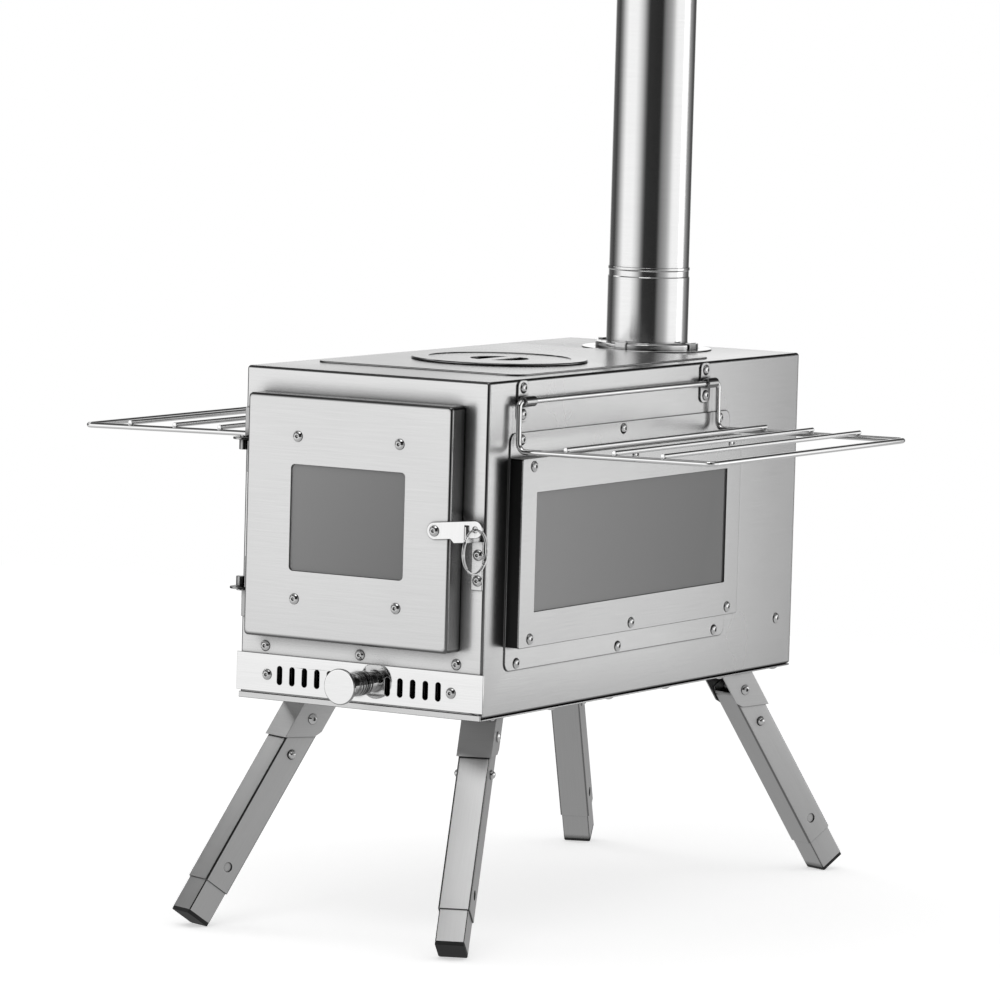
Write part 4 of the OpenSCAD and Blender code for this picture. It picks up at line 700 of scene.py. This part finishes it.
# Latch: a polished bar that drops over a tongue on the keeper, with a split ring to lift it by. The bar is
# bright with a trace of its grinding. The ring is two turns of 1.2 mm spring wire, wound side by side, its
# ends cut square; drawn wire is smooth, so that it shows a white core between dark edges.
latch_steel = brushed("polished latch plate", "#dedede", 0.12, across=0, depth=0.05, along=0.0)
softened("latch_bar", "hasp_bar", 0.35, latch_steel)
softened("latch_keeper", "hasp_keeper", 0.35, sheet_steel)
wire_steel = brushed("bright drawn wire", "#ececec", 0.05, depth=0.05, along=0.0, shade_mm=2, bend=1.0)


def tube(path, radius, around=16, closed=False):
    """Round wire along a path (n, 3): circles of the radius across the path's direction, the first side
    taken as direction x (1, 1.3, 0.7), so that no turn of the wire meets it end on."""
    p = np.asarray(path, float)
    t = np.roll(p, -1, 0) - np.roll(p, 1, 0)
    if not closed:
        t[0], t[-1] = p[1] - p[0], p[-1] - p[-2]
    t /= np.linalg.norm(t, axis=1, keepdims=True)
    u = np.cross(t, (1, 1.3, 0.7))
    u /= np.linalg.norm(u, axis=1, keepdims=True)
    v = np.cross(t, u)
    a = np.linspace(0, 2 * np.pi, around, endpoint=False)
    r = np.broadcast_to(np.asarray(radius, float), (len(p),))[:, None, None]
    loops = p[:, None] + r * (u[:, None] * np.cos(a)[:, None] + v[:, None] * np.sin(a)[:, None])
    return skin(loops, closed)


def capped(start, end, radius, edge=0.3):
    """Path and radii of a straight rod whose ends close over small rounded edges."""
    a, b = np.asarray(start, float), np.asarray(end, float)
    way = (b - a) / np.linalg.norm(b - a)
    inset = np.array([0, 0.01, 0.3 * edge, edge, edge + 0.3])
    r = np.array([0.02, radius - edge, radius - 0.3 * edge, radius, radius])
    path = np.concatenate([a + way * inset[:, None], b - way * inset[::-1, None]])
    return path, np.concatenate([r, r[::-1]])


# The ring hangs in the bar's far hole. Its two turns lie side by side and cross over halfway.
bar_reach, bar_rise = 33.1, np.radians(5.6)
ring_at = np.array([latch_x + bar_reach * np.cos(bar_rise), FRONT - 17.85,
    latch_z + bar_reach * np.sin(bar_rise)])
ring_r, ring_wire_r, beside = 15.4, 0.6, 0.62
a = np.radians(np.linspace(0, 716, 150))
across = beside * np.tanh((a - a[-1] / 2) / 0.25)
coil = np.stack([across, ring_r * np.sin(a - 0.6), -ring_r * np.cos(a - 0.6)], -1) + ring_at - (0, 0, ring_r)
thick = np.full(len(a), ring_wire_r)
thick[[0, -1]] = 0.02
coil[0], coil[-1] = coil[1] + (coil[0] - coil[1]) * 0.02, coil[-2] + (coil[-1] - coil[-2]) * 0.02
ring = piece("split_ring", tube(coil, thick, 12), wire_steel, "ring")
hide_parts("latch_ring")


# Side racks: a frame of 4 mm bright wire, bent in six places and turning in two sleeves, with three
# 3.6 mm rods welded on top of its arms; each weld leaves a small flat bead.
def bent(corners, bends, steps=8):
    """A closed path with square corners rounded: P + b(1 - sin q) u + b(1 - cos q) v, q from 0 to 90
    degrees, u and v the directions to the corners before and after."""
    c = np.asarray(corners, float)
    u, v = np.roll(c, 1, 0) - c, np.roll(c, -1, 0) - c
    u /= np.linalg.norm(u, axis=1, keepdims=True)
    v /= np.linalg.norm(v, axis=1, keepdims=True)
    q = np.radians(np.linspace(0, 90, steps))[None, :, None]
    b = np.asarray(bends, float)[:, None, None]
    return (c[:, None] + b * (1 - np.sin(q)) * u[:, None] + b * (1 - np.cos(q)) * v[:, None]).reshape(-1, 3)


def bead(at, size):
    """A weld bead: a ball pressed to the three half sizes."""
    a = np.radians(np.linspace(2, 178, 9))
    shape = lathe(np.stack([np.sin(a), np.cos(a)], -1), 12)
    return shape[0] * np.asarray(size, float) + np.asarray(at, float), shape[1]


half, reach, drop = 140.5, 154.0, 34.2
wire_r, rod_r = 2, 1.8
for hand, mirror, tilt, body in (("right", 1, 0.7, "rack_r"), ("left", -1, -1.2, "rack_l")):
    loop = bent([(0, -half, 0), (0, -half, -drop), (reach, -half, -drop), (reach, half, -drop),
        (0, half, -drop), (0, half, 0)], [4, 6, 5, 5, 6, 4])
    parts = [tube(loop, wire_r, closed=True)]
    for i in (1, 2, 3):
        x = reach * i / 4
        path, r = capped((x, -half - 1, 3.3 - drop), (x, half + 3, 3.3 - drop), rod_r)
        parts.append(tube(path, r))
        parts += [bead((x, s * half, 1.55 - drop), (2.1, 2.1, 0.8)) for s in (-1, 1)]
    points, faces = joined(*parts)
    t = np.radians(tilt)
    turn = np.array([(np.cos(t), 0, np.sin(t)), (0, 1, 0), (-np.sin(t), 0, np.cos(t))])
    points = points @ turn + (SIDE + 4.95, FRONT + 31.5 + half, BASE + rack_rise[hand])
    points[:, 0] *= mirror
    faces = faces if mirror > 0 else faces[:, ::-1]
    rack = piece("wire_rack_" + hand, (points, faces), wire_steel, body)
    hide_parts("rack_" + hand)
softened("rack_clips", "rack_sleeves", 0.3, side_steel)

# Lid: a pressed stainless plate with a raised rim and a shallow dish, a round well in its middle and a
# strap across the well to lift it by; a skirt under it centres it in the hole. Painted shade darkens its
# recesses, up to 14 mm deep, and its bends.
lid_steel = brushed("pressed lid steel", "#cfcfcf", 0.26, across=0, along=0.0, shade_mm=14, bend=0.4)
softened("lid", "lid_plate", 0.3, lid_steel)

# Flue: a flange with four catches, an adapter with a collar and a swaged top band, and a plain section
# of 0.6 mm rolled and seam-welded sheet, polished bright, so that the room stands on it in tall bands.
flue_steel = brushed("polished flue sheet", "#dcdcdc", 0.13, depth=0.06, along=0.0, shade_mm=3, bend=1.0)
softened("flue_flange", "flue_ring", 0.5, flue_steel)
# Sections as radius and height above the body top.
flue_at = (0, BACK - 56, deck)
pipe_r, pipe_bore = 29.85, 29.25
pipe_foot, pipe_end = 15.4, 360
pipe = piece("flue_section", moved(lathe(rounded([(pipe_bore, pipe_foot), (pipe_r, pipe_foot),
    (pipe_r, pipe_end), (pipe_bore, pipe_end)], 0.2, guard=0.1), 128), flue_at), flue_steel, "flue")
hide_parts("flue_pipe")
socket_r, socket_bore, socket_end = 30.5, 29.9, 61.4
foot = [(socket_bore, -12), (socket_r, -12), (socket_r, 3.8), (37.3, 3.8), (37.3, 1), (38.5, 1), (38.5, 5),
    (socket_r, 5), (socket_r, 54), (29.95, 54.6), (29.95, 58.8), (socket_r, 59.4), (socket_r, socket_end),
    (socket_bore, socket_end), (socket_bore, pipe_foot), (28.7, pipe_foot), (28.7, 14.6), (socket_bore, 14.6)]
adapter = piece("flue_socket", moved(lathe(rounded(foot, [0.1, 0.1, 0.8, 0.5, 0.1, 0.1, 1.1, 0.8, 0.5, 0.3,
    0.3, 0.5, 0.4, 0.1, 0.1, 0.1, 0.1, 0.1], guard=0.1), 128), flue_at), flue_steel, "stove")
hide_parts("flue_adapter")

# Legs: a channel bracket, an outer and an inner square tube, a two-sided snap button and a rubber cap.
# Drawn tube, brushed along its length and duller than the body; the caps are moulded black rubber.
bracket_steel = brushed("brushed leg bracket", "#c0c0c0", 0.34, along=0.0, shade_mm=6, bend=1.0)
softened("leg_brackets", "leg_channels", 0.35, bracket_steel)
softened("leg_bolts", "leg_bolt_heads", 0.2, screw_steel)
rubber, tree = material("moulded black rubber")
place = add(tree, "ShaderNodeTexCoord")
speck = add(tree, "ShaderNodeTexNoise", {"Vector": place.outputs["Object"], "Scale": 1500.0, "Detail": 3.0})
bump = add(tree, "ShaderNodeBump", {"Height": speck.outputs["Fac"], "Strength": 0.3, "Distance": 0.0001})
output(tree, add(tree, "ShaderNodeBsdfPrincipled", {"Base Color": srgb("#121212"), "Roughness": 0.6,
    "Normal": bump.outputs[0]}).outputs[0])
# The cap's rim and its plug as width, height and corner radius, and levels along the leg from its pivot.
rim, plug, core = (20.5, 20.5, 1.2), (18.3, 18.3, 1), (0.05, 0.05, 0.02)
ground, rim_top, plug_top = -165.9, -163.4, -149.4
for corner, (pivot, out, wide) in zip(("fl", "fr", "bl", "br"), feet):
    up = np.array([0, 0, 1]) * np.cos(lean) - out * np.sin(lean)
    axes = (out * np.cos(lean) + np.array([0, 0, 1]) * np.sin(lean), wide, up)
    cap = piece("rubber_cap_" + corner, moved(plate_ring(
        [(*rim, ground, 0, 0), (*rim, rim_top, 0, 0), (*plug, rim_top, 0, 0), (*plug, plug_top, 0, 0),
         (*core, plug_top, 0, 0), (*core, ground, 0, 0)],
        [0.7, 0.3, 0.1, 0.5, 0.01, 0.01], k=4), pivot, axes), rubber, "foot_" + corner)
    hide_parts("leg_foot_" + corner)
    leg_steel = brushed("brushed leg tube " + corner, "#c2c2c2", 0.34, across=[0, 1], along=0.0, shade_mm=6,
        bend=0.4, axes=np.array(axes) * [[1], [np.linalg.det(axes)], [1]])
    softened("leg_outer_" + corner, "outer_tube_" + corner, 0.3, leg_steel)
    softened("leg_inner_" + corner, "inner_tube_" + corner, 0.3, leg_steel)
    softened("leg_button_" + corner, "snap_button_" + corner, 0.15, screw_steel)
